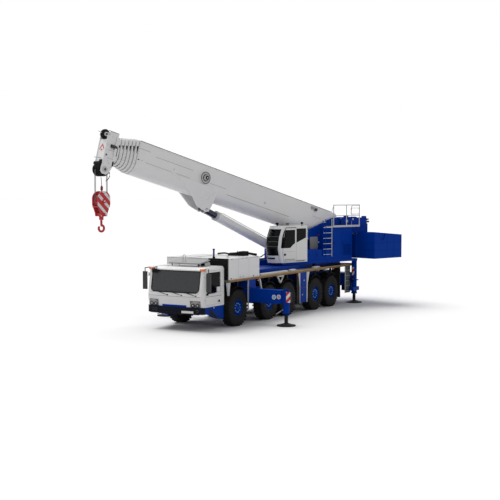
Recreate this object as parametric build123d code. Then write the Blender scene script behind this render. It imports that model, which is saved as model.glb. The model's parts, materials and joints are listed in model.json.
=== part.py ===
from build123d import *
import math
import os

# Five-axle mobile crane, in millimetres.
# Frame: X forward along the carrier, Y to its left, Z up.
# Origin: on the ground, on the axis about which the upper machine slews.

# Pose in which the crane stands, in degrees
slew_rest = -16.5
luff_rest = 14.8

# Axles and wheels
steer_axles = [1, 2, 4, 5]
tyre_radius = 745
bogie_gap = 160
axle_x = [7520, 3330 + 2 * tyre_radius + bogie_gap, 3330,
          680, 680 - 2 * tyre_radius - bogie_gap - 10]
tyre_width = 445
carrier_half_width = 1500
rim_radius = 320
rim_width = 300
rim_wall = 22
hub_radius = 150
stub_radius = 65
kingpin_y = 1120
kingpin_radius = 32
knuckle_radius = 72
knuckle_half_height = 165
fit_gap = 0.3
seat_gap = 0.3

# Carrier frame
frame_front = 8330
rail_front = 9440
rail_bottom = 700
frame_rear = -3390
frame_half_width = 430
drive_head_radius = 205
frame_bottom = tyre_radius + drive_head_radius + 10
frame_top = frame_bottom + 600
frame_plate = 30
deck_top = frame_top + 350
deck_thickness = 100
deck_bottom = deck_top - deck_thickness
deck_posts = [-2200, -1400, 1250, 2100, 4150, 5750]
deck_rear = -3500

# Outriggers
front_box_x = [5850, 6690]
rear_box_x = [-3380, -2540]
beam_width = 350
beam_bottom = 900
beam_height = 540
beam_length = 2900
box_wall = 30
beam_gap = 5
front_reach = 3100
rear_reach = 1640
jack_radius = 130
jack_rod_radius = 75
front_jack_top = beam_bottom + beam_height + 30
rear_jack_top = 2080
jack_bottom = 450
jack_travel = 330
jack_cap = 40
pad_radius = 380
pad_height = 110

# Driver's cab
cab_rear = 8370
cab_front = 9970
cab_half_width = 1330
cab_bottom = 940
cab_roof = 2470
rack_top = 2780
rack_y = [-540, 900]
cab_wall = 60
cab_corner = 170
glass_thickness = 8
door_gap = 7
hinge_radius = 16
hinge_pin_radius = 8
hinge_height = 90

# Engine bay behind the cab
hood_front = 8260
deck_front = hood_front - 40
hood_rear = 5860
hood_top = 2750
hood_half_width = 1490
hood_wall = 30
cooler_front = hood_front + 40
cooler_depth = 240
cooler_gap = 10

# Slewing ring and upper frame
ring_radius = 950
ring_wall = 150
seat_depth = 70
upper_bottom = frame_top + 560
cheek_inner = 560
cheek_plate = 60
upper_rear = -2900
upper_front = 2600
nose_top = 2320
tail_rear = -4550
post_top = 4230
floor_thickness = 110
nose_inner = 300
nose_half_width = 370
nose_rear = -300
foot_pin_radius = 90
cyl_pin_radius = 80
housing_x = [-2520, -1140]

# Boom, in its own frame: s along it from the foot pin, n square to it
pivot_x = -2100
pivot_z = 3500
boom_half_width = 500
boom_top = 920
boom_arc_centre = 20
boom_rear = -420
boom_front = 12070
boom_wall = 16
section_step = 36
section_count = 6
collar_pitch = 148
collar_length = 120
section_rear = 500
head_front = 13480
head_plate_y = 250
head_plate = 30
top_sheave_s = head_front - 30
top_sheave_n = 770
top_sheave_radius = 190
jib_bore_s = head_front - 100
jib_bore_n = -60
jib_bore_radius = 32

# Luffing cylinder
cyl_foot_x = 300
cyl_foot_z = 2380
cyl_tip_s = 7790
cyl_tip_n = -850
tip_pin_radius = 60
cyl_eye_radius = 100
cyl_foot_radius = 140
cyl_head = 760
clevis_inner = 190
clevis_outer = 255
reel_s = 8450
reel_n = 345
reel_radius = 265
cyl_radius = 205
cyl_rod_radius = 145

# Hoist
lower_sheave_s = 13300
lower_sheave_n = -640
rope_radius = 11
block_top = 5420
block_bottom = 4420
block_half_length = 300
block_plate_inner = 160
block_plate_outer = 200
hook_radius = 125
hook_bar = 46
hook_bottom = 3770
block_sheave_radius = 268

# Upper machine
crane_cab_front = 2640
crane_cab_rear = 620
crane_cab_inner = 520
crane_cab_outer = 1450
crane_cab_roof = 3870
crane_cab_wall = 50
slide_door_thickness = 30
weight_front = -2960
weight_rear = -4980
weight_half_width = 2420
weight_bottom = 2240
weight_top = 3360
wing_front_top = 3510
wing_rear_top = 3350
notch_radius = 220
notch_depth = 50
winch_radius = 250
walk_top = 3800
walk_thickness = 50
walk_outer = 1450
rail_top = 4790


def box(x0, x1, y0, y1, z0, z1):
    """Block between two corners."""
    size = Box(abs(x1 - x0), abs(y1 - y0), abs(z1 - z0))
    return Pos((x0 + x1) / 2, (y0 + y1) / 2, (z0 + z1) / 2) * size


def join(pieces):
    """One shape from pieces that meet."""
    whole = pieces[0]
    for piece in pieces[1:]:
        whole = whole + piece
    return whole


def cyl_z(x, y, z0, z1, radius):
    """Upright cylinder."""
    return Pos(x, y, (z0 + z1) / 2) * Cylinder(radius, z1 - z0)


def cyl_y(x, z, y0, y1, radius):
    """Cylinder across the machine."""
    return Pos(x, (y0 + y1) / 2, z) * Rot(90, 0, 0) * Cylinder(radius, abs(y1 - y0))


def cyl_x(y, z, x0, x1, radius):
    """Cylinder along the machine."""
    return Pos((x0 + x1) / 2, y, z) * Rot(0, 90, 0) * Cylinder(radius, x1 - x0)


def prism_y(points, y0, y1):
    """Side outline of (x, z) points, drawn out across from y0 to y1."""
    plane = Plane(origin=(0, y1, 0), x_dir=(1, 0, 0), z_dir=(0, -1, 0))
    return extrude(plane * make_face(Polyline(*points, close=True)), y1 - y0)


def prism_x(points, x0, x1):
    """Cross outline of (y, z) points, drawn along from x0 to x1."""
    plane = Plane(origin=(x0, 0, 0), x_dir=(0, 1, 0), z_dir=(1, 0, 0))
    return extrude(plane * make_face(Polyline(*points, close=True)), x1 - x0)


def prism_z(points, z0, z1):
    """Plan outline of (x, y) points, drawn up from z0 to z1."""
    return extrude(Pos(0, 0, z0) * make_face(Polyline(*points, close=True)), z1 - z0)


def rod(start, end, radius):
    """Round bar from one point to another."""
    line = Vector(*end) - Vector(*start)
    plane = Plane(origin=start, z_dir=line)
    return extrude(plane * Circle(radius), line.length)


def to_upper(shape):
    """From the upper machine's frame to the carrier's."""
    return Rot(0, 0, slew_rest) * shape


def to_boom(shape):
    """From the boom's frame to the carrier's."""
    return to_upper(Pos(pivot_x, 0, pivot_z) * Rot(0, -luff_rest, 0) * shape)


nodes = {}

# Wheels, knuckles and axles
wheel_centre_y = carrier_half_width - tyre_width / 2


def wheel(x, side):
    """Tyre on a dished rim with its hub, bored for the stub axle."""
    tyre = chamfer(Cylinder(tyre_radius, tyre_width).edges(), 42)
    tyre -= Cylinder(rim_radius, tyre_width)
    barrel = Cylinder(rim_radius - fit_gap, rim_width) - Cylinder(rim_radius - rim_wall, rim_width)
    disc = Pos(0, 0, 40) * Cylinder(rim_radius - rim_wall, 24)
    hub = Pos(0, 0, 80) * Cylinder(hub_radius, 150)
    rim = barrel + disc + hub
    rim -= Pos(0, 0, 40) * Cylinder(stub_radius + fit_gap, 130)
    turn = Rot(-90 * side, 0, 0)
    return [Pos(x, side * wheel_centre_y, tyre_radius) * turn * piece for piece in (tyre, rim)]


stub_end = wheel_centre_y + 100


def knuckle(x, side):
    """Upright barrel on the kingpin with the stub axle that carries the wheel."""
    body = cyl_z(x, side * kingpin_y, tyre_radius - knuckle_half_height,
                 tyre_radius + knuckle_half_height, knuckle_radius)
    stub = cyl_y(x, tyre_radius, side * kingpin_y, side * stub_end, stub_radius)
    bore = cyl_z(x, side * kingpin_y, 0, 2 * tyre_radius, kingpin_radius + fit_gap)
    arm = box(x - 280, x - knuckle_radius + 20, side * (kingpin_y - 50), side * (kingpin_y - 10),
              tyre_radius - 30, tyre_radius + 30)
    return body + stub + arm - bore


def axle_end(x, side, steered):
    """End of one axle: a fork with its kingpin, or a plain stub."""
    if not steered:
        return cyl_y(x, tyre_radius, side * 900, side * stub_end, stub_radius)
    top = knuckle_half_height + seat_gap
    lugs = [box(x - 70, x + 70, side * 960, side * (kingpin_y + 65),
                tyre_radius + s * top, tyre_radius + s * (top + 38)) for s in (1, -1)]
    web = box(x - 70, x + 70, side * 900, side * (kingpin_y - knuckle_radius - 30),
              tyre_radius - top - 38, tyre_radius + top + 38)
    pin = cyl_z(x, side * kingpin_y, tyre_radius - top - 38, tyre_radius + top + 38,
                kingpin_radius)
    return join([web] + lugs + [pin])


def axle(x, steered):
    """Beam axle with its drive head and the struts that hold the frame up."""
    beam = box(x - 95, x + 95, -960, 960, tyre_radius - 90, tyre_radius + 90)
    head = Pos(x, 0, tyre_radius) * Sphere(drive_head_radius)
    struts = [cyl_z(x, side * 620, tyre_radius, frame_top - seat_depth - 20, 70)
              for side in (1, -1)]
    brackets = [box(x - 60, x + 60, side * frame_half_width, side * 620,
                    frame_top - 200, frame_top - seat_depth - 20) for side in (1, -1)]
    ends = [axle_end(x, side, steered) for side in (1, -1)]
    return join([beam, head] + struts + brackets + ends)


axles = []
for number, x in enumerate(axle_x, 1):
    steered = number in steer_axles
    axles.append(axle(x, steered))
    for side, hand in ((1, "left"), (-1, "right")):
        nodes[f"wheel_{number}_{hand}"] = Compound(wheel(x, side))
        if steered:
            nodes[f"knuckle_{number}_{hand}"] = knuckle(x, side)
nodes["axles"] = Compound(axles)

# Carrier frame with its outrigger boxes
inner_bottom = beam_bottom - beam_gap
inner_top = beam_bottom + beam_height + beam_gap


def outrigger_box(span):
    """Square box across the frame with two open channels side by side."""
    x0, x1 = span
    outer = box(x0, x1, -carrier_half_width, carrier_half_width,
                inner_bottom - box_wall, inner_top + box_wall)
    for x in beam_centres(span):
        outer -= box(x - beam_width / 2 - beam_gap, x + beam_width / 2 + beam_gap,
                     -carrier_half_width, carrier_half_width, inner_bottom, inner_top)
    return outer


def beam_centres(span):
    """Middle of the rear channel and of the front channel."""
    x0, x1 = span
    offset = box_wall + beam_gap + beam_width / 2
    return [x0 + offset, x1 - offset]


# Outriggers, one row each: name, box, channel, side, reach, top of the jack's sleeve
outriggers = [
    ("front_left", front_box_x, 1, 1, front_reach, front_jack_top),
    ("front_right", front_box_x, 0, -1, front_reach, front_jack_top),
    ("rear_left", rear_box_x, 0, 1, rear_reach, rear_jack_top),
    ("rear_right", rear_box_x, 1, -1, rear_reach, rear_jack_top),
]


def carrier_frame():
    """Box girder from the cab to the rear outriggers, open inside."""
    girder = box(frame_rear + 60, frame_front, -frame_half_width, frame_half_width,
                 frame_bottom, frame_top)
    hollow = box(frame_rear + 60, frame_front - 40, -frame_half_width + frame_plate,
                 frame_half_width - frame_plate, frame_bottom + frame_plate,
                 frame_top - frame_plate)
    body = girder - hollow
    for span in (front_box_x, rear_box_x):
        body -= box(span[0], span[1], -600, 600, inner_bottom - box_wall, inner_top + box_wall)
        body += outrigger_box(span)
    seat = cyl_z(0, 0, frame_top - seat_depth, frame_top, ring_radius)
    drop = box(frame_front - 150, frame_front, -frame_half_width, frame_half_width,
               rail_bottom, frame_top)
    rails = [box(frame_front - 150, rail_front, side * 250, side * frame_half_width,
                 rail_bottom, cab_bottom - seat_gap) for side in (1, -1)]
    ring = cyl_z(0, 0, frame_top + seat_gap, upper_bottom - seat_gap, ring_radius)
    ring -= cyl_z(0, 0, frame_top, upper_bottom, ring_radius - ring_wall)
    platform = box(-2900, hood_rear - 60, -1000, 1000, deck_top + seat_gap, upper_bottom - 20)
    platform -= cyl_z(0, 0, deck_top, upper_bottom, ring_radius + 60)
    posts = [box(x - 60, x + 60, side * 250, side * frame_half_width, frame_top,
                 deck_bottom - seat_gap) for x in deck_posts for side in (1, -1)]
    runners = []
    for name, span, channel, side, reach, jack_top in outriggers:
        x = beam_centres(span)[channel]
        runners.append(box(x - 90, x + 90, side * 1250, side * 1450, inner_bottom - 5,
                           beam_bottom - seat_gap))
    return Compound([join([body, seat, drop] + rails + posts + runners), ring, platform])


nodes["carrier_frame"] = carrier_frame()

# Outrigger beams and jacks
for name, span, channel, side, reach, jack_top in outriggers:
    x = beam_centres(span)[channel]
    outer = side * (reach - jack_radius - 20)
    inner = side * (reach - beam_length)
    beam = box(x - beam_width / 2, x + beam_width / 2, inner, outer,
               beam_bottom, beam_bottom + beam_height)
    beam -= box(x - beam_width / 2 + 20, x + beam_width / 2 - 20, inner, outer - side * 60,
                beam_bottom + 20, beam_bottom + beam_height - 20)
    sleeve = cyl_z(x, side * reach, jack_bottom, jack_top, jack_radius)
    neck = box(x - 110, x + 110, outer - side * 5, side * reach, beam_bottom + 60,
               beam_bottom + beam_height - 60)
    bore = cyl_z(x, side * reach, jack_bottom, jack_top - jack_cap, jack_rod_radius + fit_gap)
    if reach == rear_reach:
        sleeve += box(x - 330, x + 330, side * (reach - 120), side * (reach + 120), 600, 780)
    nodes[f"outrigger_beam_{name}"] = beam + sleeve + neck - bore
    rod_top = jack_top - jack_cap - jack_travel - 10
    leg = cyl_z(x, side * reach, pad_height - 20, rod_top, jack_rod_radius)
    pad = cyl_z(x, side * reach, 0, 45, pad_radius)
    pad += Pos(x, side * reach, 45 + (pad_height - 45) / 2) * Cone(pad_radius * 0.8, 120, pad_height - 45)
    nodes[f"jack_{name}"] = leg + pad

# Driver's cab
door_x = [8520, 9700]
door_z = [1010, 2340]
window_x = [8640, 9600]
window_z = [1480, 2260]
screen_z = [1490, 2330]
screen_half_width = 1130


# Cab sections from the floor to the roof, one row each: height, front, half width, corner, bow
cab_sections = [
    (cab_bottom, cab_front - 70, cab_half_width, 150, 70),
    (cab_bottom + 420, cab_front, cab_half_width, 170, 80),
    (cab_roof - 90, cab_front - 190, cab_half_width, 150, 60),
    (cab_roof, cab_front - 330, cab_half_width - 60, 130, 40),
]


def cab_section(rear, height, front, half, corner, bow):
    """Plan outline of a cab with round corners and a bowed front."""
    turn = front - bow - corner
    wing = half - corner
    diagonal = corner * math.sqrt(0.5)
    edges = [Line((rear, half), (turn, half)),
             ThreePointArc((turn, half), (turn + diagonal, wing + diagonal), (turn + corner, wing)),
             ThreePointArc((turn + corner, wing), (front, 0), (turn + corner, -wing)),
             ThreePointArc((turn + corner, -wing), (turn + diagonal, -wing - diagonal), (turn, -half)),
             Line((turn, -half), (rear, -half)),
             Line((rear, -half), (rear, half))]
    return Pos(0, 0, height) * make_face(Wire(edges))


def cab_form(sections, rear, inset):
    """Closed outer form of a cab, drawn in by an inset all round."""
    rows = []
    for place, (height, front, half, corner, bow) in enumerate(sections):
        lift = [inset, 0, -inset / 2, -inset][place]
        rows.append(cab_section(rear, height + lift, front - inset, half - inset,
                                corner - inset * 0.8, bow))
    body = loft(rows, ruled=True)
    return body & box(rear + inset, sections[1][1] + 200, -2000, 2000, 0, 4000)


def cab_body(inset):
    """Outer form of the driver's cab."""
    return cab_form(cab_sections, cab_rear, inset)


cab_shell = cab_body(0) - cab_body(cab_wall)
screen_opening = box(cab_front - 400, cab_front + 50, -screen_half_width, screen_half_width,
                     *screen_z)
cab = cab_shell - screen_opening
rear_window = box(cab_rear - 10, cab_rear + cab_wall + 10, -700, 700, 1650, 2250)
cab -= rear_window
glazing = cab_body(12) - cab_body(12 + glass_thickness)
cab_glass = [glazing & box(cab_front - 400, cab_front + 50, -screen_half_width + seat_gap,
                           screen_half_width - seat_gap, screen_z[0] + seat_gap,
                           screen_z[1] - seat_gap)]
cab_glass.append(glazing & box(cab_rear, cab_rear + cab_wall, -700 + seat_gap, 700 - seat_gap,
                               1650 + seat_gap, 2250 - seat_gap))
hinge_x = door_x[1] + 4
for side, hand in ((1, "left"), (-1, "right")):
    reach = [side * (cab_half_width - cab_wall - 1), side * (cab_half_width + 1)]
    cab -= box(door_x[0], door_x[1], *reach, *door_z)
    panel = cab_shell & box(door_x[0] + door_gap, door_x[1] - door_gap, *reach,
                            door_z[0] + door_gap, door_z[1] - door_gap)
    panel -= box(window_x[0], window_x[1], *reach, *window_z)
    pane_y = side * (cab_half_width - 25)
    pane = box(window_x[0] + seat_gap, window_x[1] - seat_gap, pane_y,
               pane_y - side * glass_thickness, window_z[0] + seat_gap, window_z[1] - seat_gap)
    skin_y = side * (cab_half_width + 1)
    root_y = side * (cab_half_width - 45)
    axis_y = side * (cab_half_width + hinge_radius + 1)
    barrels = []
    for z in (door_z[0] + 200, door_z[1] - 200):
        low = z - hinge_height / 2
        high = z + hinge_height / 2
        barrels.append(box(hinge_x - 60, hinge_x, skin_y, axis_y, low, high))
        barrels.append(box(hinge_x - 60, door_x[1] - door_gap - 1, root_y, axis_y, low, high))
        barrels.append(cyl_z(hinge_x, axis_y, z - hinge_height / 2, z + hinge_height / 2,
                             hinge_radius))
        pin = cyl_z(hinge_x, axis_y, z - hinge_height / 2 - 20, z + hinge_height / 2 + 20,
                    hinge_pin_radius)
        for s in (1, -1):
            near = z + s * (hinge_height / 2 + seat_gap)
            far = z + s * (hinge_height / 2 + 20)
            cab += box(hinge_x - 10, hinge_x + 60, skin_y, axis_y + side * 10, near, far)
            cab += box(hinge_x + 5, hinge_x + 60, root_y, axis_y, near, far)
        cab += pin
    door = join([panel] + barrels)
    for z in (door_z[0] + 200, door_z[1] - 200):
        door -= cyl_z(hinge_x, axis_y, z - hinge_height, z + hinge_height,
                      hinge_pin_radius + fit_gap)
    nodes[f"cab_door_{hand}"] = Compound([door, pane])
    mirror_x = cab_front - 225
    mirror_y = side * (cab_half_width + 170)
    cab += rod((cab_front - 570, side * (cab_half_width - 70), cab_roof - 40),
               (mirror_x + 8, mirror_y, cab_roof - 85), 18)
    cab += cyl_z(mirror_x, mirror_y, cab_roof - 240, cab_roof - 75, 18)
    cab += box(mirror_x - 25, mirror_x + 25, mirror_y - 100, mirror_y + 100, 1540, cab_roof - 220)
for y in (rack_y[0] + 60, rack_y[1] - 60):
    for x in (8850, 9330):
        cab += cyl_z(x, y, cab_roof - 30, rack_top - 100 - 60 * (x - 8700) / 780, 22)
rack = prism_y([(8700, rack_top - 60), (8700, rack_top - 100), (9480, rack_top - 200),
                (9480, rack_top - 160)], *rack_y)
nodes["cab"] = cab + rack
nodes["cab_glass"] = Compound(cab_glass)

# Bumper with the low fairings that run back under the doors
bumper_top = cab_bottom - seat_gap
bumper_rear = rail_front + seat_gap
bumper_bottom = 670
fairing_bottom = 400
row = cab_sections[0]
face = cab_section(cab_rear, bumper_bottom, row[1] + 30, row[2], row[3], row[4])
bumper = extrude(face, bumper_top - bumper_bottom)
bumper &= box(bumper_rear, cab_front + 100, -2000, 2000, 0, 2000)
panel = cab_body(-12) - cab_body(0)
bumper += panel & box(cab_front - 200, cab_front + 100, -560, 560, bumper_top - 60, 1010)
for side in (1, -1):
    outline = [(bumper_rear, bumper_bottom), (bumper_rear, bumper_top), (cab_rear, bumper_top),
               (cab_rear, fairing_bottom), (cab_rear + 300, fairing_bottom)]
    bumper += prism_y(outline, *sorted([side * (cab_half_width - 220), side * (cab_half_width - 20)]))
nodes["bumper"] = bumper

# Lamps: headlamp clusters in the cab's face and beacons at the front of its roof
lamp_face = cab_body(-16) - cab_body(0)
beacon_face = cab_body(-50) - cab_body(-seat_gap)
lamps = []
for side in (1, -1):
    lamps.append(lamp_face & box(cab_front - 300, cab_front + 100, side * 750, side * 1190,
                                 cab_bottom + 5, cab_bottom + 250))
    lamps.append(beacon_face & box(cab_front - 440, cab_front + 100, side * 1120,
                                   side * 1300, cab_roof - 130, cab_roof - 40))
nodes["lamps"] = Compound(lamps)

# Engine cover, the engine inside it and the cooler behind the cab
hood = box(hood_rear, hood_front, -hood_half_width, hood_half_width, deck_top + seat_gap, hood_top)
hood -= box(hood_rear + hood_wall, hood_front, -hood_half_width + hood_wall,
            hood_half_width - hood_wall, deck_top, hood_top - hood_wall)
gear = [box(6000, 6400, 780, 1060, hood_top, hood_top + 170),
        rod((6020, 920, hood_top + 110), (5930, 1400, hood_top + 45), 50),
        rod((6020, 820, hood_top + 110), (5930, 100, hood_top + 45), 50),
        cyl_z(hood_front - 100, 720, hood_top, hood_top + 350, 38),
        cyl_z(7800, 1150, hood_top, hood_top + 60, 60)]
nodes["engine_cover"] = join([hood] + gear)
nodes["engine"] = box(6100, 7500, -450, 450, frame_top + seat_gap, 2500)
cooler_half_width = hood_half_width - hood_wall - cooler_gap
nodes["cooler"] = box(cooler_front - cooler_depth, cooler_front, -cooler_half_width, cooler_half_width,
                      deck_top + seat_gap, hood_top - hood_wall - cooler_gap)

# Deck over the wheels
deck = box(deck_rear, deck_front, -carrier_half_width, carrier_half_width, deck_bottom, deck_top)
deck -= box(hood_rear + 60, hood_front - 260, -1350, 1350, deck_top - 200, deck_top)
deck -= cyl_z(0, 0, deck_top - 200, deck_top, ring_radius + 60)
nodes["deck"] = deck

# Upper frame


def upper_frame():
    """Turntable, two tall cheeks that carry the boom's foot pin, and the nose for the cylinder."""
    floor_plan = [(upper_rear, -1400), (600, -1400), (600, -nose_half_width),
                  (upper_front, -nose_half_width), (upper_front, nose_half_width),
                  (crane_cab_front - 500, nose_half_width), (crane_cab_front - 500, 1400),
                  (upper_rear, 1400)]
    floor = prism_z(floor_plan, upper_bottom, upper_bottom + floor_thickness)
    nose_start = nose_rear + 50 + seat_gap
    seat = upper_bottom + floor_thickness + seat_gap
    plates = []
    nose_plates = []
    for side in (1, -1):
        cheek = [(upper_rear, seat), (500, seat), (500, 3180), (-230, 3600),
                 (-2000, 4170), (-2450, 4170), (-2900, 3960), (tail_rear, 3850),
                 (tail_rear, weight_top + 40), (upper_rear, weight_top + 40)]
        plates.append(prism_y(cheek, *sorted([side * cheek_inner,
                                              side * (cheek_inner + cheek_plate)])))
        nose = [(nose_start, seat), (upper_front, seat), (upper_front, nose_top),
                (1600, nose_top + 40), (1400, cyl_foot_z + 250), (1100, cyl_foot_z + 340),
                (cyl_foot_x, cyl_foot_z + 340), (nose_start, cyl_foot_z + 100)]
        nose_plates.append(prism_y(nose, *sorted([side * nose_inner, side * nose_half_width])))
        plates.append(box(nose_rear, nose_rear + 50, side * nose_inner,
                          side * (cheek_inner + cheek_plate), seat, cyl_foot_z + 60))
        post = [(tail_rear, weight_top + 130), (tail_rear + 480, weight_top + 130),
                (tail_rear + 400, post_top), (tail_rear + 110, post_top)]
        plates.append(prism_y(post, *sorted([side * cheek_inner,
                                             side * (cheek_inner + cheek_plate)])))
    tail = box(tail_rear, upper_rear + 10, -cheek_inner - cheek_plate, cheek_inner + cheek_plate,
               weight_top + 40, weight_top + 130)
    back = box(upper_rear, upper_rear + 60, -cheek_inner - cheek_plate,
               cheek_inner + cheek_plate, seat, weight_top + 60)
    front = box(upper_front - 40, upper_front, -nose_half_width, nose_half_width, seat, nose_top)
    pin = cyl_y(pivot_x, pivot_z, -cheek_inner - cheek_plate, cheek_inner + cheek_plate,
                foot_pin_radius)
    foot_pin = cyl_y(cyl_foot_x, cyl_foot_z, -nose_half_width, nose_half_width, cyl_pin_radius)
    return Compound([floor, join(plates + [tail, back, pin]), join(nose_plates + [front, foot_pin])])


nodes["upper_frame"] = to_upper(upper_frame())
housings = [box(housing_x[0], housing_x[1], side * (cheek_inner + cheek_plate + seat_gap),
                side * 1400, upper_bottom + floor_thickness + seat_gap,
                walk_top - walk_thickness - seat_gap)
            for side in (1, -1)]
for side in (1, -1):
    housings.append(box(housing_x[1] + seat_gap, crane_cab_rear - 20,
                        side * (cheek_inner + cheek_plate + seat_gap), side * 1400,
                        upper_bottom + floor_thickness + seat_gap, 2720))
nodes["side_housings"] = to_upper(Compound(housings))


def boom_profile(step, extra):
    """Flat-topped, round-bottomed outline of one boom section."""
    half = boom_half_width - step * section_step - extra
    top = boom_top - step * section_step - extra
    corner = min(90, half / 3)
    left = (-half, boom_arc_centre)
    right = (half, boom_arc_centre)
    outline = [
        Line(right, (half, top - corner)),
        RadiusArc((half, top - corner), (half - corner, top), -corner),
        Line((half - corner, top), (-half + corner, top)),
        RadiusArc((-half + corner, top), (-half, top - corner), -corner),
        Line((-half, top - corner), left),
        ThreePointArc(left, (0, boom_arc_centre - half), right),
    ]
    return make_face(Wire(outline))


def boom_solid(step, extra, s0, s1):
    """Solid boom section from one station to another."""
    plane = Plane(origin=(s0, 0, 0), x_dir=(0, 1, 0), z_dir=(1, 0, 0))
    return extrude(plane * boom_profile(step, extra), s1 - s0)


base = boom_solid(0, 0, boom_rear, boom_front) - boom_solid(0, boom_wall, 300, boom_front)
base &= prism_y([(boom_front + 10, boom_top + 10), (10, boom_top + 10), (-300, 470), (boom_rear, 300),
                 (boom_rear, -300), (-300, -600), (boom_front + 10, -600)], -600, 600)
base -= cyl_y(0, 0, -600, 600, foot_pin_radius + fit_gap)
fairings = []
for side in (1, -1):
    outline = [(cyl_tip_s - 250, boom_arc_centre + 40), (cyl_tip_s + 2100, boom_arc_centre + 40),
               (cyl_tip_s + 1140, cyl_tip_n + 440), (cyl_tip_s + 570, cyl_tip_n),
               (cyl_tip_s + 200, cyl_tip_n - 90), (cyl_tip_s - 150, cyl_tip_n - 90),
               (cyl_tip_s - 200, cyl_tip_n + 200)]
    lean = [(side * (boom_half_width - 20), boom_arc_centre + 40),
            (side * (boom_half_width + 40), boom_arc_centre + 40),
            (side * clevis_outer, cyl_tip_n - 90), (side * (clevis_inner + 25), cyl_tip_n - 90)]
    gusset = prism_y(outline, -2 * boom_half_width, 2 * boom_half_width)
    gusset &= prism_x(lean, cyl_tip_s - 500, cyl_tip_s + 2300)
    gusset += cyl_y(cyl_tip_s, cyl_tip_n, side * clevis_inner, side * (clevis_outer + 20), 130)
    fairings.append(gusset - boom_solid(0, -seat_gap, cyl_tip_s - 500, cyl_tip_s + 2300))
reel = cyl_y(reel_s, reel_n, boom_half_width + seat_gap, boom_half_width + 110, reel_radius)
reel += cyl_y(reel_s, reel_n, boom_half_width + 50, boom_half_width + 180, reel_radius * 0.42)
base = Compound([base] + fairings + [reel])
nodes["boom_base"] = to_boom(base)
for number in range(1, section_count + 1):
    end = boom_front + number * collar_pitch
    tube = boom_solid(number, 0, section_rear, end)
    tube -= boom_solid(number, boom_wall, section_rear, end)
    pads = boom_solid(number - 1, boom_wall + seat_gap, section_rear, section_rear + 250)
    pads -= boom_solid(number, 1, section_rear, section_rear + 250)
    collar = boom_solid(number, -30, end - collar_length, end) - boom_solid(number, 1, 0, end)
    nodes[f"boom_section_{number}"] = tube + pads + collar

head_rear = boom_front + section_count * collar_pitch + seat_gap
head = boom_solid(section_count, -40, head_rear, head_rear + 100)
head_side = [(head_rear, 880), (head_front - 120, 900), (head_front, 800), (head_front, -420),
             (lower_sheave_s + 200, lower_sheave_n + 80), (lower_sheave_s + 190, lower_sheave_n - 100),
             (lower_sheave_s + 90, lower_sheave_n - 190), (lower_sheave_s - 110, lower_sheave_n - 190),
             (lower_sheave_s - 230, lower_sheave_n - 60), (head_rear, -420)]
cheek_outer = head_plate_y + head_plate / 2
cheeks = [prism_y(head_side, *sorted([side * (cheek_outer - head_plate), side * cheek_outer]))
          for side in (1, -1)]
cheeks.append(box(head_front - 40, head_front - 20, -head_plate_y, head_plate_y, -360, 560))
# Sheaves of the head, one row each: station, height, radius, half width, radius of the axle
head_sheaves = [
    (top_sheave_s, top_sheave_n, top_sheave_radius, 60, 30),
    (lower_sheave_s, lower_sheave_n, block_sheave_radius, 210, 60),
]
sheaves = []
for s, n, radius, half, axle_radius in head_sheaves:
    sheaves.append(cyl_y(s, n, -half, half, radius))
    sheaves.append(cyl_y(s, n, -cheek_outer, cheek_outer, axle_radius))
jib_bores = cyl_y(jib_bore_s, jib_bore_n, -500, 500, jib_bore_radius)
last = f"boom_section_{section_count}"
nodes[last] = Compound([nodes[last], join([head] + cheeks + sheaves) - jib_bores])
for number in range(1, section_count + 1):
    nodes[f"boom_section_{number}"] = to_boom(nodes[f"boom_section_{number}"])

# Luffing cylinder between the turntable and the boom
tip = Vector(pivot_x, 0, pivot_z) + Vector(cyl_tip_s, 0, cyl_tip_n).rotate(Axis.Y, -luff_rest)
foot = Vector(cyl_foot_x, 0, cyl_foot_z)
reach = (tip - foot).length
angle = math.degrees(math.atan2(tip.Z - foot.Z, tip.X - foot.X))


def to_cylinder(shape):
    """From the cylinder's frame, x along it from its foot pin, to the carrier's."""
    return to_upper(Pos(cyl_foot_x, 0, cyl_foot_z) * Rot(0, -angle, 0) * shape)


barrel_end = reach - cyl_head
barrel = cyl_x(0, 0, 200, barrel_end, cyl_radius)
barrel += cyl_x(0, 0, 0, 210, cyl_foot_radius)
barrel += cyl_y(0, 0, -nose_inner + seat_gap, nose_inner - seat_gap, cyl_foot_radius)
barrel -= cyl_x(0, 0, 300, barrel_end, cyl_rod_radius + fit_gap)
barrel -= cyl_y(0, 0, -nose_inner, nose_inner, cyl_pin_radius + fit_gap)
nodes["luff_barrel"] = to_cylinder(barrel)
ram = cyl_x(0, 0, 900, reach - 60, cyl_rod_radius)
ram += cyl_y(reach, 0, -clevis_inner + 40, clevis_inner - 40, cyl_eye_radius)
ram += cyl_y(reach, 0, -clevis_inner + seat_gap, clevis_inner - seat_gap, tip_pin_radius)
nodes["luff_rod"] = to_cylinder(ram)

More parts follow.
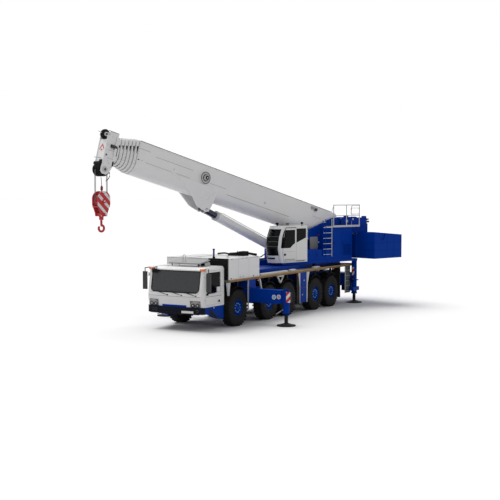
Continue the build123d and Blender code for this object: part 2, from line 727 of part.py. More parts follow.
# Hook block, hook and rope falls
sheave = Vector(pivot_x, 0, pivot_z)
sheave += Vector(lower_sheave_s, 0, lower_sheave_n).rotate(Axis.Y, -luff_rest)
fall_x = sheave.X
fall_offset = block_sheave_radius + rope_radius + seat_gap
half = block_half_length
round_z = block_top - half
plates = []
for side in (1, -1):
    edges = [ThreePointArc((half, round_z), (0, block_top), (-half, round_z)),
             Line((-half, round_z), (-half, round_z - 230)),
             Line((-half, round_z - 230), (-half + 130, block_bottom + 130)),
             Line((-half + 130, block_bottom + 130), (-half + 150, block_bottom)),
             Line((-half + 150, block_bottom), (half - 150, block_bottom)),
             Line((half - 150, block_bottom), (half - 130, block_bottom + 130)),
             Line((half - 130, block_bottom + 130), (half, round_z - 230)),
             Line((half, round_z - 230), (half, round_z))]
    start = max(side * block_plate_inner, side * block_plate_outer)
    plane = Plane(origin=(fall_x, start, 0), x_dir=(1, 0, 0), z_dir=(0, -1, 0))
    plates.append(extrude(plane * make_face(Wire(edges)), block_plate_outer - block_plate_inner))
block = join(plates)
block += cyl_y(fall_x, block_top - 400, -block_plate_inner - 5, block_plate_inner + 5,
               block_sheave_radius)
block += box(fall_x - 120, fall_x + 120, -block_plate_outer, block_plate_outer, block_bottom,
             block_bottom + 120)
nodes["hook_block"] = to_upper(block)
bow_z = hook_bottom + hook_radius + hook_bar
bow = Rot(90, 0, 0) * Rot(0, 0, 90) * Torus(hook_radius, hook_bar, major_angle=290)
tip_turn = math.radians(20)
tip_ball = Pos(hook_radius * math.cos(tip_turn), 0, hook_radius * math.sin(tip_turn))
bow += tip_ball * Sphere(hook_bar)
shank = cyl_z(0, 0, hook_radius - hook_bar / 2, block_bottom - seat_gap - bow_z, hook_bar)
nut = cyl_z(0, 0, block_bottom - 140 - bow_z, block_bottom - seat_gap - bow_z, 90)
nodes["hook"] = to_upper(Pos(fall_x, 0, bow_z) * (bow + shank + nut))
falls = [rod((fall_x + dx, dy, block_top - 400), (fall_x + dx, dy, sheave.Z), rope_radius)
         for dx in (-fall_offset, fall_offset) for dy in (-30, 30)]
nodes["rope_falls"] = to_upper(Compound(falls))

# Crane operator's cab


crane_cab_bottom = upper_bottom + floor_thickness + seat_gap


crane_cab_middle = (crane_cab_inner + crane_cab_outer) / 2
crane_cab_half = (crane_cab_outer - crane_cab_inner) / 2
# Crane cab sections from the floor to the roof, with the same columns as the driver's cab
crane_cab_sections = [
    (crane_cab_bottom, crane_cab_front - 120, crane_cab_half, 120, 200),
    (crane_cab_bottom + 650, crane_cab_front, crane_cab_half, 120, 200),
    (crane_cab_roof - 520, crane_cab_front - 80, crane_cab_half, 120, 190),
    (crane_cab_roof, crane_cab_front - 340, crane_cab_half, 110, 150),
]


def crane_cab_body(inset):
    """Outer form of the operator's cab."""
    return Pos(0, crane_cab_middle, 0) * cab_form(crane_cab_sections, crane_cab_rear, inset)


def pulled_in(points, share):
    """Outline drawn towards its middle by a share of its size."""
    middle_x = sum(x for x, z in points) / len(points)
    middle_z = sum(z for x, z in points) / len(points)
    return [(x + (middle_x - x) * share, z + (middle_z - z) * share) for x, z in points]


crane_cab = crane_cab_body(0) - crane_cab_body(crane_cab_wall)
side_reach = [crane_cab_outer - crane_cab_wall - 1, crane_cab_outer + 1]
low = crane_cab_bottom
high = crane_cab_roof
rear_pane = [(700, high - 540), (1320, high - 760), (1320, high - 120), (700, high - 120)]
door_outline = [(1380, low + 100), (2170, low + 100), (2200, low + 650), (2170, high - 520),
                (2020, high - 90), (1380, high - 90)]
door_pane_outline = [(1440, high - 760), (1760, high - 980), (2120, high - 980), (2140, high - 910),
                     (2110, high - 530), (1975, high - 170), (1440, high - 170)]
front_window = box(crane_cab_front - 640, crane_cab_front + 50, crane_cab_inner + 80,
                   crane_cab_outer - 80, low + 330, high - 150)
inner_window = box(crane_cab_rear + 250, crane_cab_front - 600, crane_cab_inner - 1,
                   crane_cab_inner + crane_cab_wall + 1, high - 970, high - 200)
crane_cab -= front_window
crane_cab -= inner_window
crane_cab -= prism_y(rear_pane, *side_reach)
crane_cab -= prism_y(pulled_in(door_outline, 0.08), *side_reach)
crane_glazing = crane_cab_body(12) - crane_cab_body(12 + glass_thickness)
pane_share = 0.002
crane_panes = [
    crane_glazing & box(crane_cab_front - 640, crane_cab_front + 50, crane_cab_inner + 80 + seat_gap,
                        crane_cab_outer - 80 - seat_gap, low + 330 + seat_gap,
                        high - 150 - seat_gap),
    crane_glazing & box(crane_cab_rear + 250 + seat_gap, crane_cab_front - 600 - seat_gap,
                        crane_cab_inner - 1, crane_cab_inner + crane_cab_wall + 1,
                        high - 970 + seat_gap, high - 200 - seat_gap),
    crane_glazing & prism_y(pulled_in(rear_pane, pane_share), *side_reach),
]
door_inner_y = crane_cab_outer + seat_gap
door_outer_y = door_inner_y + slide_door_thickness
door = prism_y(door_outline, door_inner_y, door_outer_y)
door -= prism_y(door_pane_outline, door_inner_y, door_outer_y)
door_pane = prism_y(pulled_in(door_pane_outline, pane_share), door_inner_y + 10,
                    door_inner_y + 10 + glass_thickness)
nodes["crane_cab"] = to_upper(crane_cab)
nodes["crane_cab_glass"] = to_upper(Compound(crane_panes))
nodes["crane_cab_door"] = to_upper(Compound([door, door_pane]))

# Walkway, railing and ladder on the left of the upper machine
walkway = box(-3020, -1140, 900, walk_outer, walk_top - walk_thickness, walk_top)
railing = []
for x in (-3000, -2080, -1180):
    railing.append(cyl_z(x, walk_outer - 25, walk_top + seat_gap, rail_top, 20))
railing.append(cyl_x(walk_outer - 25, rail_top, -3020, -1160, 20))
railing.append(cyl_x(walk_outer - 25, (walk_top + rail_top) / 2, -3020, -1160, 16))
ladder = []
for x in (-1060, -640):
    ladder.append(cyl_z(x, walk_outer - 25, 2400, walk_top + 350, 18))
for k in range(6):
    ladder.append(cyl_x(walk_outer - 25, 2500 + 250 * k, -1060, -640, 14))
ladder.append(box(-1139.7, -1060, walk_outer - 45, walk_outer - 5, walk_top - walk_thickness, walk_top))
nodes["ladder_and_rails"] = to_upper(Compound([walkway, join(railing), join(ladder)]))

# Counterweight
weight = box(weight_rear, upper_rear - seat_gap, -1300, 1300, weight_bottom, weight_top)
wings = []
for side in (1, -1):
    wing = prism_y([(weight_front, weight_bottom), (weight_front, wing_front_top),
                    (weight_rear, wing_rear_top), (weight_rear, weight_bottom)],
                   *sorted([side * (1300 + seat_gap), side * weight_half_width]))
    notch = cyl_x(side * 1820, wing_front_top - 140, weight_front - notch_depth, weight_front,
                  notch_radius)
    notch += box(weight_front - notch_depth, weight_front, side * 1820 - notch_radius,
                 side * 1820 + notch_radius, wing_front_top - 140, wing_front_top + 10)
    notch += cyl_y(-3510, wing_front_top - 170, side * (weight_half_width - notch_depth),
                   side * weight_half_width, notch_radius)
    notch += box(-3510 - notch_radius, -3510 + notch_radius, side * (weight_half_width - notch_depth),
                 side * weight_half_width, wing_front_top - 170, wing_front_top + 10)
    wings.append(wing - notch)
nodes["counterweight"] = to_upper(Compound([weight] + wings))

# Hoist winches behind the boom's foot
winches = []
for x, z in ((-3340, 3930), (-3990, 3910)):
    winch = cyl_y(x, z, -cheek_inner + seat_gap, cheek_inner - seat_gap, winch_radius - 60)
    for side in (1, -1):
        winch += cyl_y(x, z, side * (cheek_inner - 60), side * (cheek_inner - seat_gap), winch_radius)
    winches.append(winch)
nodes["winches"] = to_upper(Compound(winches))

# Mudguards and side boxes between the wheels
panels = []
for x in axle_x:
    for side in (1, -1):
        guard = cyl_y(x, tyre_radius, side * 1040, side * 1480, tyre_radius + 120)
        guard -= cyl_y(x, tyre_radius, side * 1040, side * 1480, tyre_radius + 105)
        guard &= box(x - 500, x + 500, side * 1000, side * 1500, 1400, deck_top)
        guard += box(x - 40, x + 40, side * 1370, side * 1450, 1600, deck_bottom - seat_gap)
        panels.append(guard)
# Boxes and posts under the deck, one row each: rear, front, inner, outer, bottom
under_deck = [
    (1600, 2220, 900, 1480, 460),
    (1540, 1600, 1400, 1490, 440),
    (2220, 2540, 1380, 1490, 440),
    (-1980, -1900, 1050, 1460, 350),
    (6150, 6690, 900, 1480, 1476),
    (6690.3, 6716, 1420, 1480, 600),
]
for side in (1, -1):
    for rear, front, inner, outer, bottom in under_deck:
        panels.append(box(rear, front, side * inner, side * outer, bottom, deck_bottom - seat_gap))
    channel = beam_centres(rear_box_x)[0 if side == 1 else 1]
    span = [channel + beam_width / 2 + 10, channel + 790] if side == 1 else [channel - 630, channel - beam_width / 2 - 10]
    panels.append(box(*span, side * 1500.3, side * 1512, 520, deck_bottom - seat_gap))
nodes["side_panels"] = Compound(panels)

os.makedirs("parts", exist_ok=True)
for name, shape in nodes.items():
    export_step(shape, f"parts/{name}.step")
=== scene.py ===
"""Looks of a five-axle mobile crane, laid out as an add-on: one operator for each group of pieces."""

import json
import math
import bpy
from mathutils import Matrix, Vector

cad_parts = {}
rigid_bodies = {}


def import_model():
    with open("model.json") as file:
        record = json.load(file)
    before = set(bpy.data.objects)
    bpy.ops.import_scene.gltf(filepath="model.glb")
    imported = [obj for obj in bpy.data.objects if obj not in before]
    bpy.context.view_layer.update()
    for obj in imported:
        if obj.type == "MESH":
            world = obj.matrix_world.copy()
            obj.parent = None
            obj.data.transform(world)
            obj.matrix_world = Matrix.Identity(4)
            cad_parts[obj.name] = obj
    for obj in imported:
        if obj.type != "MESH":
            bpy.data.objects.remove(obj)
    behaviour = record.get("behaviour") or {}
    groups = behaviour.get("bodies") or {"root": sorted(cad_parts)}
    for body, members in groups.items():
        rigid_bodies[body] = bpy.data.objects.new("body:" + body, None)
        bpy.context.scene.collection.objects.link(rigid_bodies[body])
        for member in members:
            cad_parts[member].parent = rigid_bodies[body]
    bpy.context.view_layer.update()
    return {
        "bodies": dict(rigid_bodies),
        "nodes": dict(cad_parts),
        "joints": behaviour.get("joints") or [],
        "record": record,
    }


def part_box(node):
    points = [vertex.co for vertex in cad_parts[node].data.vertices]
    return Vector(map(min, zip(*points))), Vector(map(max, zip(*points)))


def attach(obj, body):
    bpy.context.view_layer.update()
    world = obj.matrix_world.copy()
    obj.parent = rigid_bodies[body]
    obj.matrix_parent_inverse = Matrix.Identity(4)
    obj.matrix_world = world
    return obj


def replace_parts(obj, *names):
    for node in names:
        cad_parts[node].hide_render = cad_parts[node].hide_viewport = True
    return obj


bl_info = {
    "name": "Mobile crane looks",
    "version": (1, 0, 0),
    "blender": (4, 5, 0),
    "location": "View3D > Sidebar > Crane",
    "description": "Builds paint, wheels, fittings and stage for the mobile crane",
    "category": "Object",
}

import bmesh
import bpy
from bpy.props import BoolProperty, FloatProperty, FloatVectorProperty, IntProperty, PointerProperty
from mathutils import Matrix, Vector

# What the operators share while the script runs
shared = {"frame": None, "materials": {}}

# Frames of the upper machine and the boom at rest, in metres
UPPER = Matrix.Rotation(math.radians(-16.5), 4, "Z")
BOOM = UPPER @ Matrix.Translation((-2.1, 0, 3.5)) @ Matrix.Rotation(math.radians(-14.8), 4, "Y")
CARRIER = Matrix.Identity(4)
LUFF = UPPER @ Matrix.Translation((0.3, 0, 2.38)) @ Matrix.Rotation(math.radians(-23.161), 4, "Y")

# Fronts of both cabs, one row each: height, front, half width, corner, bow
DRIVER_CAB = [(0.94, 9.90, 1.33, 0.15, 0.07), (1.36, 9.97, 1.33, 0.17, 0.08),
              (2.38, 9.78, 1.33, 0.15, 0.06), (2.47, 9.64, 1.27, 0.13, 0.04)]
BUMPER = [(0.60, 9.93, 1.33, 0.15, 0.07), (0.96, 9.93, 1.33, 0.15, 0.07)]
CRANE_CAB = [(2.23, 2.52, 0.465, 0.12, 0.20), (2.88, 2.64, 0.465, 0.12, 0.20),
             (3.35, 2.56, 0.465, 0.12, 0.19), (3.87, 2.30, 0.465, 0.11, 0.15)]
CRANE_CAB_Y = 0.985

# Edges sharper than this stay sharp
SHARP_ANGLE = math.radians(38)


# Sizes

class CranePaint(bpy.types.PropertyGroup):
    """Colours and finish of the paint."""

    white: FloatVectorProperty(name="White", description="Boom, cabs and hood", subtype="COLOR", size=4,
                               default=(0.80, 0.80, 0.80, 1))
    blue: FloatVectorProperty(name="Blue", description="Frame and upper machine", subtype="COLOR", size=4,
                              default=(0.0010, 0.040, 0.330, 1))
    grey: FloatVectorProperty(name="Grey", description="Guards and posts", subtype="COLOR", size=4,
                              default=(0.36, 0.37, 0.38, 1))
    red: FloatVectorProperty(name="Red", description="Hook block and warning stripes", subtype="COLOR",
                             size=4, default=(0.50, 0.012, 0.02, 1))
    deck_edge: FloatVectorProperty(name="Deck edge", description="Strip along the deck", subtype="COLOR",
                                   size=4, default=(0.36, 0.22, 0.08, 1))
    gloss: FloatProperty(name="Gloss", description="Roughness of the paint", default=0.34, min=0, max=1)


class CraneWheels(bpy.types.PropertyGroup):
    """Sizes of one wheel."""

    radius: FloatProperty(name="Radius", description="Tyre radius over the lugs", default=0.745,
                          unit="LENGTH")
    width: FloatProperty(name="Width", description="Tyre width", default=0.445, unit="LENGTH")
    rim_radius: FloatProperty(name="Rim radius", description="Radius of the rim's lip", default=0.325,
                              unit="LENGTH")
    lug_depth: FloatProperty(name="Lug depth", description="Depth of the tread", default=0.026, unit="LENGTH")
    lugs: IntProperty(name="Lugs", description="Lug pairs round the tyre", default=30, min=8, max=60)
    nuts: IntProperty(name="Nuts", description="Nuts round the hub", default=10, min=4, max=16)


class CraneStage(bpy.types.PropertyGroup):
    """Camera, light and floor."""

    eye: FloatVectorProperty(name="Eye", description="Place of the camera", size=3, unit="LENGTH",
                             default=(42.60, 22.71, 5.28))
    look_at: FloatVectorProperty(name="Look at", description="Point that the camera looks at", size=3,
                                 unit="LENGTH", default=(4.095, 0.0, 2.866))
    lens: FloatProperty(name="Lens", description="Focal length in millimetres", default=73.85)
    sky: FloatProperty(name="Sky", description="Strength of the soft light all round", default=0.50)
    sun: FloatProperty(name="Sun", description="Strength of the light from above", default=2.5)
    sun_way: FloatVectorProperty(name="Sun way", description="Way in which the light from above falls",
                                 size=3, subtype="DIRECTION", default=(0.08, 0.55, -1.0))
    sun_spread: FloatProperty(name="Sun spread", description="Width of the light from above",
                              unit="ROTATION", default=math.radians(48))
    floor_colour: FloatVectorProperty(name="Floor", description="Floor as camera, mirrors and glass see it",
                                      subtype="COLOR", size=4, default=(0.86, 0.86, 0.86, 1))
    floor_bounce: FloatVectorProperty(name="Floor bounce",
                                      description="Floor as it lights the crane from below", subtype="COLOR",
                                      size=4, default=(0.55, 0.55, 0.56, 1))
    floor_size: FloatProperty(name="Floor size", description="Side of the floor", unit="LENGTH", default=1200)
    studio_floor: BoolProperty(name="Floor", description="Lay the pale floor", default=True)


# Materials

def colour_group(name, inputs, outputs):
    """A shader node group with typed sockets, made once."""
    group = bpy.data.node_groups.new(name, "ShaderNodeTree")
    for label, kind, value in inputs:
        group.interface.new_socket(label, in_out="INPUT", socket_type=kind).default_value = value
    for label, kind in outputs:
        group.interface.new_socket(label, in_out="OUTPUT", socket_type=kind)
    return group


def feed(tree, socket, value):
    """Links another socket to this one, or sets its value."""
    if isinstance(value, bpy.types.NodeSocket):
        tree.links.new(value, socket)
    else:
        socket.default_value = value


def maths(tree, operation, first, second=0.0):
    """Result of a maths node; each input is a socket or a number."""
    node = tree.nodes.new("ShaderNodeMath")
    node.operation = operation
    feed(tree, node.inputs[0], first)
    feed(tree, node.inputs[1], second)
    return node.outputs[0]


def mixed(tree, factor, first, second):
    """Colour between two others by a factor; each colour is a socket or a value."""
    mix = tree.nodes.new("ShaderNodeMix")
    mix.data_type = "RGBA"
    feed(tree, mix.inputs["Factor"], factor)
    feed(tree, mix.inputs["A"], first)
    feed(tree, mix.inputs["B"], second)
    return mix.outputs["Result"]


def wear_group():
    """Grime and slight unevenness of paint: colour, roughness and normal from object coordinates."""
    if "Paint wear" in bpy.data.node_groups:
        return bpy.data.node_groups["Paint wear"]
    group = colour_group(
        "Paint wear",
        [("Colour", "NodeSocketColor", (0.8, 0.8, 0.8, 1)), ("Dirt", "NodeSocketColor", (0.2, 0.19, 0.17, 1)),
         ("Amount", "NodeSocketFloat", 0.1), ("Gloss", "NodeSocketFloat", 0.35),
         ("Grain", "NodeSocketFloat", 3.0), ("Relief", "NodeSocketFloat", 0.05)],
        [("Colour", "NodeSocketColor"), ("Roughness", "NodeSocketFloat"), ("Normal", "NodeSocketVector")])
    nodes, links = group.nodes, group.links
    gin, gout = nodes.new("NodeGroupInput"), nodes.new("NodeGroupOutput")
    noise = nodes.new("ShaderNodeTexNoise")
    noise.inputs["Detail"].default_value = 5
    noise.inputs["Roughness"].default_value = 0.6
    links.new(nodes.new("ShaderNodeTexCoord").outputs["Object"], noise.inputs["Vector"])
    links.new(gin.outputs["Grain"], noise.inputs["Scale"])
    ramp = nodes.new("ShaderNodeMapRange")
    ramp.inputs["From Min"].default_value = 0.42
    ramp.inputs["From Max"].default_value = 0.75
    links.new(noise.outputs["Fac"], ramp.inputs["Value"])
    share = maths(group, "MULTIPLY", ramp.outputs["Result"], gin.outputs["Amount"])
    bump = nodes.new("ShaderNodeBump")
    bump.inputs["Distance"].default_value = 0.01
    links.new(gin.outputs["Relief"], bump.inputs["Strength"])
    links.new(noise.outputs["Fac"], bump.inputs["Height"])
    links.new(mixed(group, share, gin.outputs["Colour"], gin.outputs["Dirt"]), gout.inputs["Colour"])
    links.new(maths(group, "ADD", gin.outputs["Gloss"], share), gout.inputs["Roughness"])
    links.new(bump.outputs["Normal"], gout.inputs["Normal"])
    return group


def stripe_group():
    """Slanted stripes: 0 or 1 from object coordinates, a direction and a width."""
    if "Slanted stripes" in bpy.data.node_groups:
        return bpy.data.node_groups["Slanted stripes"]
    group = colour_group("Slanted stripes",
                         [("Direction", "NodeSocketVector", (0, 1, 1)), ("Width", "NodeSocketFloat", 0.1),
                          ("Share", "NodeSocketFloat", 0.5), ("Shift", "NodeSocketFloat", 0.0)],
                         [("Mask", "NodeSocketFloat")])
    nodes, links = group.nodes, group.links
    gin, gout = nodes.new("NodeGroupInput"), nodes.new("NodeGroupOutput")
    dot = nodes.new("ShaderNodeVectorMath")
    dot.operation = "DOT_PRODUCT"
    links.new(nodes.new("ShaderNodeTexCoord").outputs["Object"], dot.inputs[0])
    links.new(gin.outputs["Direction"], dot.inputs[1])
    shifted = maths(group, "ADD", dot.outputs["Value"], gin.outputs["Shift"])
    part = maths(group, "FRACT", maths(group, "DIVIDE", shifted, gin.outputs["Width"]))
    links.new(maths(group, "LESS_THAN", part, gin.outputs["Share"]), gout.inputs["Mask"])
    return group


def range_group():
    """A box mask: 1 where the point lies between two corners in object coordinates."""
    if "Inside box" in bpy.data.node_groups:
        return bpy.data.node_groups["Inside box"]
    group = colour_group("Inside box",
                         [("Low", "NodeSocketVector", (-1, -1, -1)), ("High", "NodeSocketVector", (1, 1, 1))],
                         [("Mask", "NodeSocketFloat")])
    nodes, links = group.nodes, group.links
    gin, gout = nodes.new("NodeGroupInput"), nodes.new("NodeGroupOutput")
    place = nodes.new("ShaderNodeSeparateXYZ")
    links.new(nodes.new("ShaderNodeTexCoord").outputs["Object"], place.inputs[0])
    inside = 1.0
    for label, operation in (("Low", "GREATER_THAN"), ("High", "LESS_THAN")):
        limit = nodes.new("ShaderNodeSeparateXYZ")
        links.new(gin.outputs[label], limit.inputs[0])
        for axis in range(3):
            test = maths(group, operation, place.outputs[axis], limit.outputs[axis])
            inside = maths(group, "MULTIPLY", inside, test)
    links.new(inside, gout.inputs["Mask"])
    return group


def principled(name):
    """The node tree and the shader node of a fresh material."""
    made = bpy.data.materials.new(name)
    made.use_nodes = True
    shared["materials"][name] = made
    return made.node_tree, made.node_tree.nodes["Principled BSDF"]


def group_node(tree, group, values):
    """A group in a material's tree with its inputs set by name."""
    node = tree.nodes.new("ShaderNodeGroup")
    node.node_tree = group
    for label, value in values.items():
        feed(tree, node.inputs[label], value)
    return node


def paint(name, colour, gloss=0.35, amount=0.08, grain=2.0, relief=0.02, metallic=0.0, shine=0.5,
          dirt=(0.2, 0.19, 0.17, 1), regions=()):
    """Paint with grime. Each region is (low corner, high corner, colour) and covers the colour before it."""
    tree, shader = principled(name)
    for low, high, other in regions:
        mask = group_node(tree, range_group(), {"Low": low, "High": high})
        colour = mixed(tree, mask.outputs["Mask"], colour, other)
    wear = group_node(tree, wear_group(), {"Colour": colour, "Dirt": dirt, "Amount": amount, "Gloss": gloss,
                                           "Grain": grain, "Relief": relief})
    for label, target in (("Colour", "Base Color"), ("Roughness", "Roughness"), ("Normal", "Normal")):
        tree.links.new(wear.outputs[label], shader.inputs[target])
    shader.inputs["Metallic"].default_value = metallic
    shader.inputs["Specular IOR Level"].default_value = shine


def plain(name, colour, roughness=0.5, metallic=0.0, alpha=1.0, shine=0.5):
    """A plain material with constants on its own sockets."""
    shader = principled(name)[1]
    for label, value in (("Base Color", colour), ("Roughness", roughness), ("Metallic", metallic),
                         ("Alpha", alpha), ("Specular IOR Level", shine)):
        shader.inputs[label].default_value = value


def striped(name, first, second, direction, width, share=0.5, shift=0.0):
    """Two colours in slanted stripes."""
    tree, shader = principled(name)
    mask = group_node(tree, stripe_group(), {"Direction": direction, "Width": width, "Share": share,
                                             "Shift": shift})
    tree.links.new(mixed(tree, mask.outputs["Mask"], first, second), shader.inputs["Base Color"])
    shader.inputs["Roughness"].default_value = 0.45


def material(name):
    return shared["materials"][name]


# Mesh building

def cab_face(sections, y, z, out=0.0):
    """Distance forward of a bowed cab front at a place across it and a height."""
    k = max([0] + [i for i in range(len(sections) - 1) if sections[i][0] <= z])
    low, high = sections[k], sections[k + 1]
    share = min(max((z - low[0]) / (high[0] - low[0]), 0), 1)
    front, half, corner, bow = [a + (b - a) * share for a, b in zip(low[1:], high[1:])]
    front, half, corner = front + out, half + out, corner + out
    wing = half - corner
    side = min(abs(y), half)
    if side <= wing:
        bend = (wing * wing + bow * bow) / (2 * bow)
        return front - bend + math.sqrt(bend * bend - side * side)
    return front - bow - corner + math.sqrt(max(corner ** 2 - (side - wing) ** 2, 0))


class Piece:
    """Collects faces in one frame and turns them into an object that rides with a body."""

    def __init__(self, frame=CARRIER):
        self.mesh = bmesh.new()
        self.frame = frame
        self.slots = []
        self.index = 0

    def use(self, name):
        """Faces added from here on take this material."""
        if name not in self.slots:
            self.slots.append(name)
        self.index = self.slots.index(name)
        return self

    def take(self, other, turn=CARRIER):
        """Adds a small mesh through a matrix."""
        for face in other.faces:
            face.material_index = self.index
        other.transform(turn)
        holder = bpy.data.meshes.new("holder")
        other.to_mesh(holder)
        other.free()
        self.mesh.from_mesh(holder)
        bpy.data.meshes.remove(holder)
        return self

    def add_mesh(self, mesh, turn=CARRIER):
        """Adds a mesh datablock, its faces in the current material."""
        small = bmesh.new()
        small.from_mesh(mesh)
        return self.take(small, turn)

    def box(self, x0, x1, y0, y1, z0, z1, bevel=0.006):
        """Block between two corners with softened edges."""
        small = bmesh.new()
        bmesh.ops.create_cube(small, size=1)
        size = (abs(x1 - x0), abs(y1 - y0), abs(z1 - z0))
        bmesh.ops.scale(small, vec=size, verts=small.verts)
        bmesh.ops.translate(small, vec=((x0 + x1) / 2, (y0 + y1) / 2, (z0 + z1) / 2), verts=small.verts)
        bevel = min(bevel, min(size) * 0.3)
        if bevel > 0:
            bmesh.ops.bevel(small, geom=small.edges[:], offset=bevel, segments=1, affect="EDGES")
        return self.take(small)

    def cylinder(self, start, end, radius, sides=20, end_radius=None):
        """Round bar between two points."""
        start, end = Vector(start), Vector(end)
        line = end - start
        small = bmesh.new()
        bmesh.ops.create_cone(small, cap_ends=True, segments=sides, radius1=radius,
                              radius2=radius if end_radius is None else end_radius, depth=line.length)
        spin = line.to_track_quat("Z", "Y").to_matrix().to_4x4()
        return self.take(small, Matrix.Translation((start + end) / 2) @ spin)

    def tube(self, points, radius, sides=8):
        """Round tube along a line of points."""
        points = [Vector(p) for p in points]
        small = bmesh.new()
        rings = []
        for k, point in enumerate(points):
            before = points[max(k - 1, 0)]
            after = points[min(k + 1, len(points) - 1)]
            spin = (after - before).to_track_quat("Z", "Y").to_matrix()
            ring = []
            for i in range(sides):
                a = 2 * math.pi * i / sides
                ring.append(small.verts.new(point + spin @ Vector((radius * math.cos(a),
                                                                   radius * math.sin(a), 0))))
            rings.append(ring)
        for low, high in zip(rings, rings[1:]):
            for i in range(sides):
                j = (i + 1) % sides
                small.faces.new((low[i], low[j], high[j], high[i]))
        small.faces.new(rings[0][::-1])
        small.faces.new(rings[-1])
        return self.take(small)

    def lathe(self, profile, sides=48, turn=CARRIER):
        """Turns (radius, height) points about Z."""
        small = bmesh.new()
        rings = []
        for radius, height in profile:
            if radius < 1e-6:
                rings.append([small.verts.new((0, 0, height))])
                continue
            rings.append([small.verts.new((radius * math.cos(2 * math.pi * i / sides),
                                           radius * math.sin(2 * math.pi * i / sides), height))
                          for i in range(sides)])
        for low, high in zip(rings, rings[1:]):
            for i in range(sides):
                j = (i + 1) % sides
                if len(low) == 1:
                    small.faces.new((low[0], high[j], high[i]))
                elif len(high) == 1:
                    small.faces.new((low[i], low[j], high[0]))
                else:
                    small.faces.new((low[i], low[j], high[j], high[i]))
        return self.take(small, turn)

    def prism(self, points, low, high, axis="Y", turn=CARRIER):
        """Flat outline drawn out along an axis: (x, z) for Y, (y, z) for X."""
        small = bmesh.new()
        place = {"Y": lambda u, v, w: (u, w, v), "X": lambda u, v, w: (w, u, v)}[axis]
        ends = [[small.verts.new(place(u, v, w)) for u, v in points] for w in (low, high)]
        small.faces.new(ends[0])
        small.faces.new(ends[1][::-1])
        for i in range(len(points)):
            j = (i + 1) % len(points)
            small.faces.new((ends[0][j], ends[0][i], ends[1][i], ends[1][j]))
        bmesh.ops.recalc_face_normals(small, faces=small.faces[:])
        return self.take(small, turn)

    def skin(self, sections, rows, out=0.002, thick=0.004, steps=8, middle=0.0):
        """Thin sheet on a bowed front, from rows of (height, first y, last y)."""
        small = bmesh.new()
        sheets = []
        for lift in (out + thick, out):
            sheets.append([[small.verts.new((cab_face(sections, a + (b - a) * k / steps, z, lift),
                                             middle + a + (b - a) * k / steps, z))
                            for k in range(steps + 1)] for z, a, b in rows])
        front, back = sheets
        for i in range(len(rows) - 1):
            for k in range(steps):
                small.faces.new((front[i][k], front[i][k + 1], front[i + 1][k + 1], front[i + 1][k]))
                small.faces.new((back[i][k], back[i + 1][k], back[i + 1][k + 1], back[i][k + 1]))
            for k in (0, steps):
                small.faces.new((front[i][k], front[i + 1][k], back[i + 1][k], back[i][k]))
        for i in (0, len(rows) - 1):
            for k in range(steps):
                small.faces.new((front[i][k], front[i][k + 1], back[i][k + 1], back[i][k]))
        return self.take(small)

    def rows(self, table):
        """Adds the rows of a table: material, shape and the numbers of the shape."""
        for coat, shape, *numbers in table:
            getattr(self.use(coat), shape)(*numbers)
        return self

    def finish(self, name, body):
        """The object, at the origin and unturned, riding with its body."""
        self.mesh.transform(self.frame)
        bmesh.ops.recalc_face_normals(self.mesh, faces=self.mesh.faces[:])
        data = bpy.data.meshes.new(name)
        self.mesh.to_mesh(data)
        self.mesh.free()
        for slot in self.slots:
            data.materials.append(material(slot))
        data.polygons.foreach_set("use_smooth", [True] * len(data.polygons))
        data.set_sharp_from_angle(angle=SHARP_ANGLE)
        thing = bpy.data.objects.new(name, data)
        bpy.context.scene.collection.objects.link(thing)
        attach(thing, body)
        return thing


# Repeats, as Geometry Nodes trees

def repeat_tree(name, ring):
    """A tree that repeats a piece round a ring about Z, or along a row."""
    if name in bpy.data.node_groups:
        return bpy.data.node_groups[name]
    tree = bpy.data.node_groups.new(name, "GeometryNodeTree")
    sockets = [("Geometry", "Geometry"), ("Piece", "Object"), ("Count", "Int"), ("Material", "Material")]
    if not ring:
        sockets.append(("Step", "Vector"))
    for label, kind in sockets:
        tree.interface.new_socket(label, in_out="INPUT", socket_type="NodeSocket" + kind)
    tree.interface.new_socket("Geometry", in_out="OUTPUT", socket_type="NodeSocketGeometry")
    nodes, links = tree.nodes, tree.links
    gin, gout = nodes.new("NodeGroupInput"), nodes.new("NodeGroupOutput")
    info = nodes.new("GeometryNodeObjectInfo")
    links.new(gin.outputs["Piece"], info.inputs["Object"])
    spread = nodes.new("GeometryNodeInstanceOnPoints")
    links.new(info.outputs["Geometry"], spread.inputs["Instance"])
    if ring:
        # The piece is made at its distance from the axis, so the ring itself is next to nothing
        line = nodes.new("GeometryNodeMeshCircle")
        line.inputs["Radius"].default_value = 0.0001
        links.new(gin.outputs["Count"], line.inputs["Vertices"])
        one_step = maths(tree, "DIVIDE", 2 * math.pi, gin.outputs["Count"])
        spin = nodes.new("ShaderNodeCombineXYZ")
        links.new(maths(tree, "MULTIPLY", nodes.new("GeometryNodeInputIndex").outputs[0], one_step),
                  spin.inputs["Z"])
        links.new(spin.outputs[0], spread.inputs["Rotation"])
    else:
        line = nodes.new("GeometryNodeMeshLine")
        links.new(gin.outputs["Count"], line.inputs["Count"])
        links.new(gin.outputs["Step"], line.inputs["Offset"])
    links.new(line.outputs["Mesh"], spread.inputs["Points"])
    real = nodes.new("GeometryNodeRealizeInstances")
    links.new(spread.outputs["Instances"], real.inputs["Geometry"])
    coat = nodes.new("GeometryNodeSetMaterial")
    links.new(real.outputs["Geometry"], coat.inputs["Geometry"])
    links.new(gin.outputs["Material"], coat.inputs["Material"])
    links.new(coat.outputs["Geometry"], gout.inputs["Geometry"])
    return tree


def loose_object(name, data):
    """An object of a mesh, light or camera, linked to the scene."""
    thing = bpy.data.objects.new(name, data)
    bpy.context.scene.collection.objects.link(thing)
    return thing


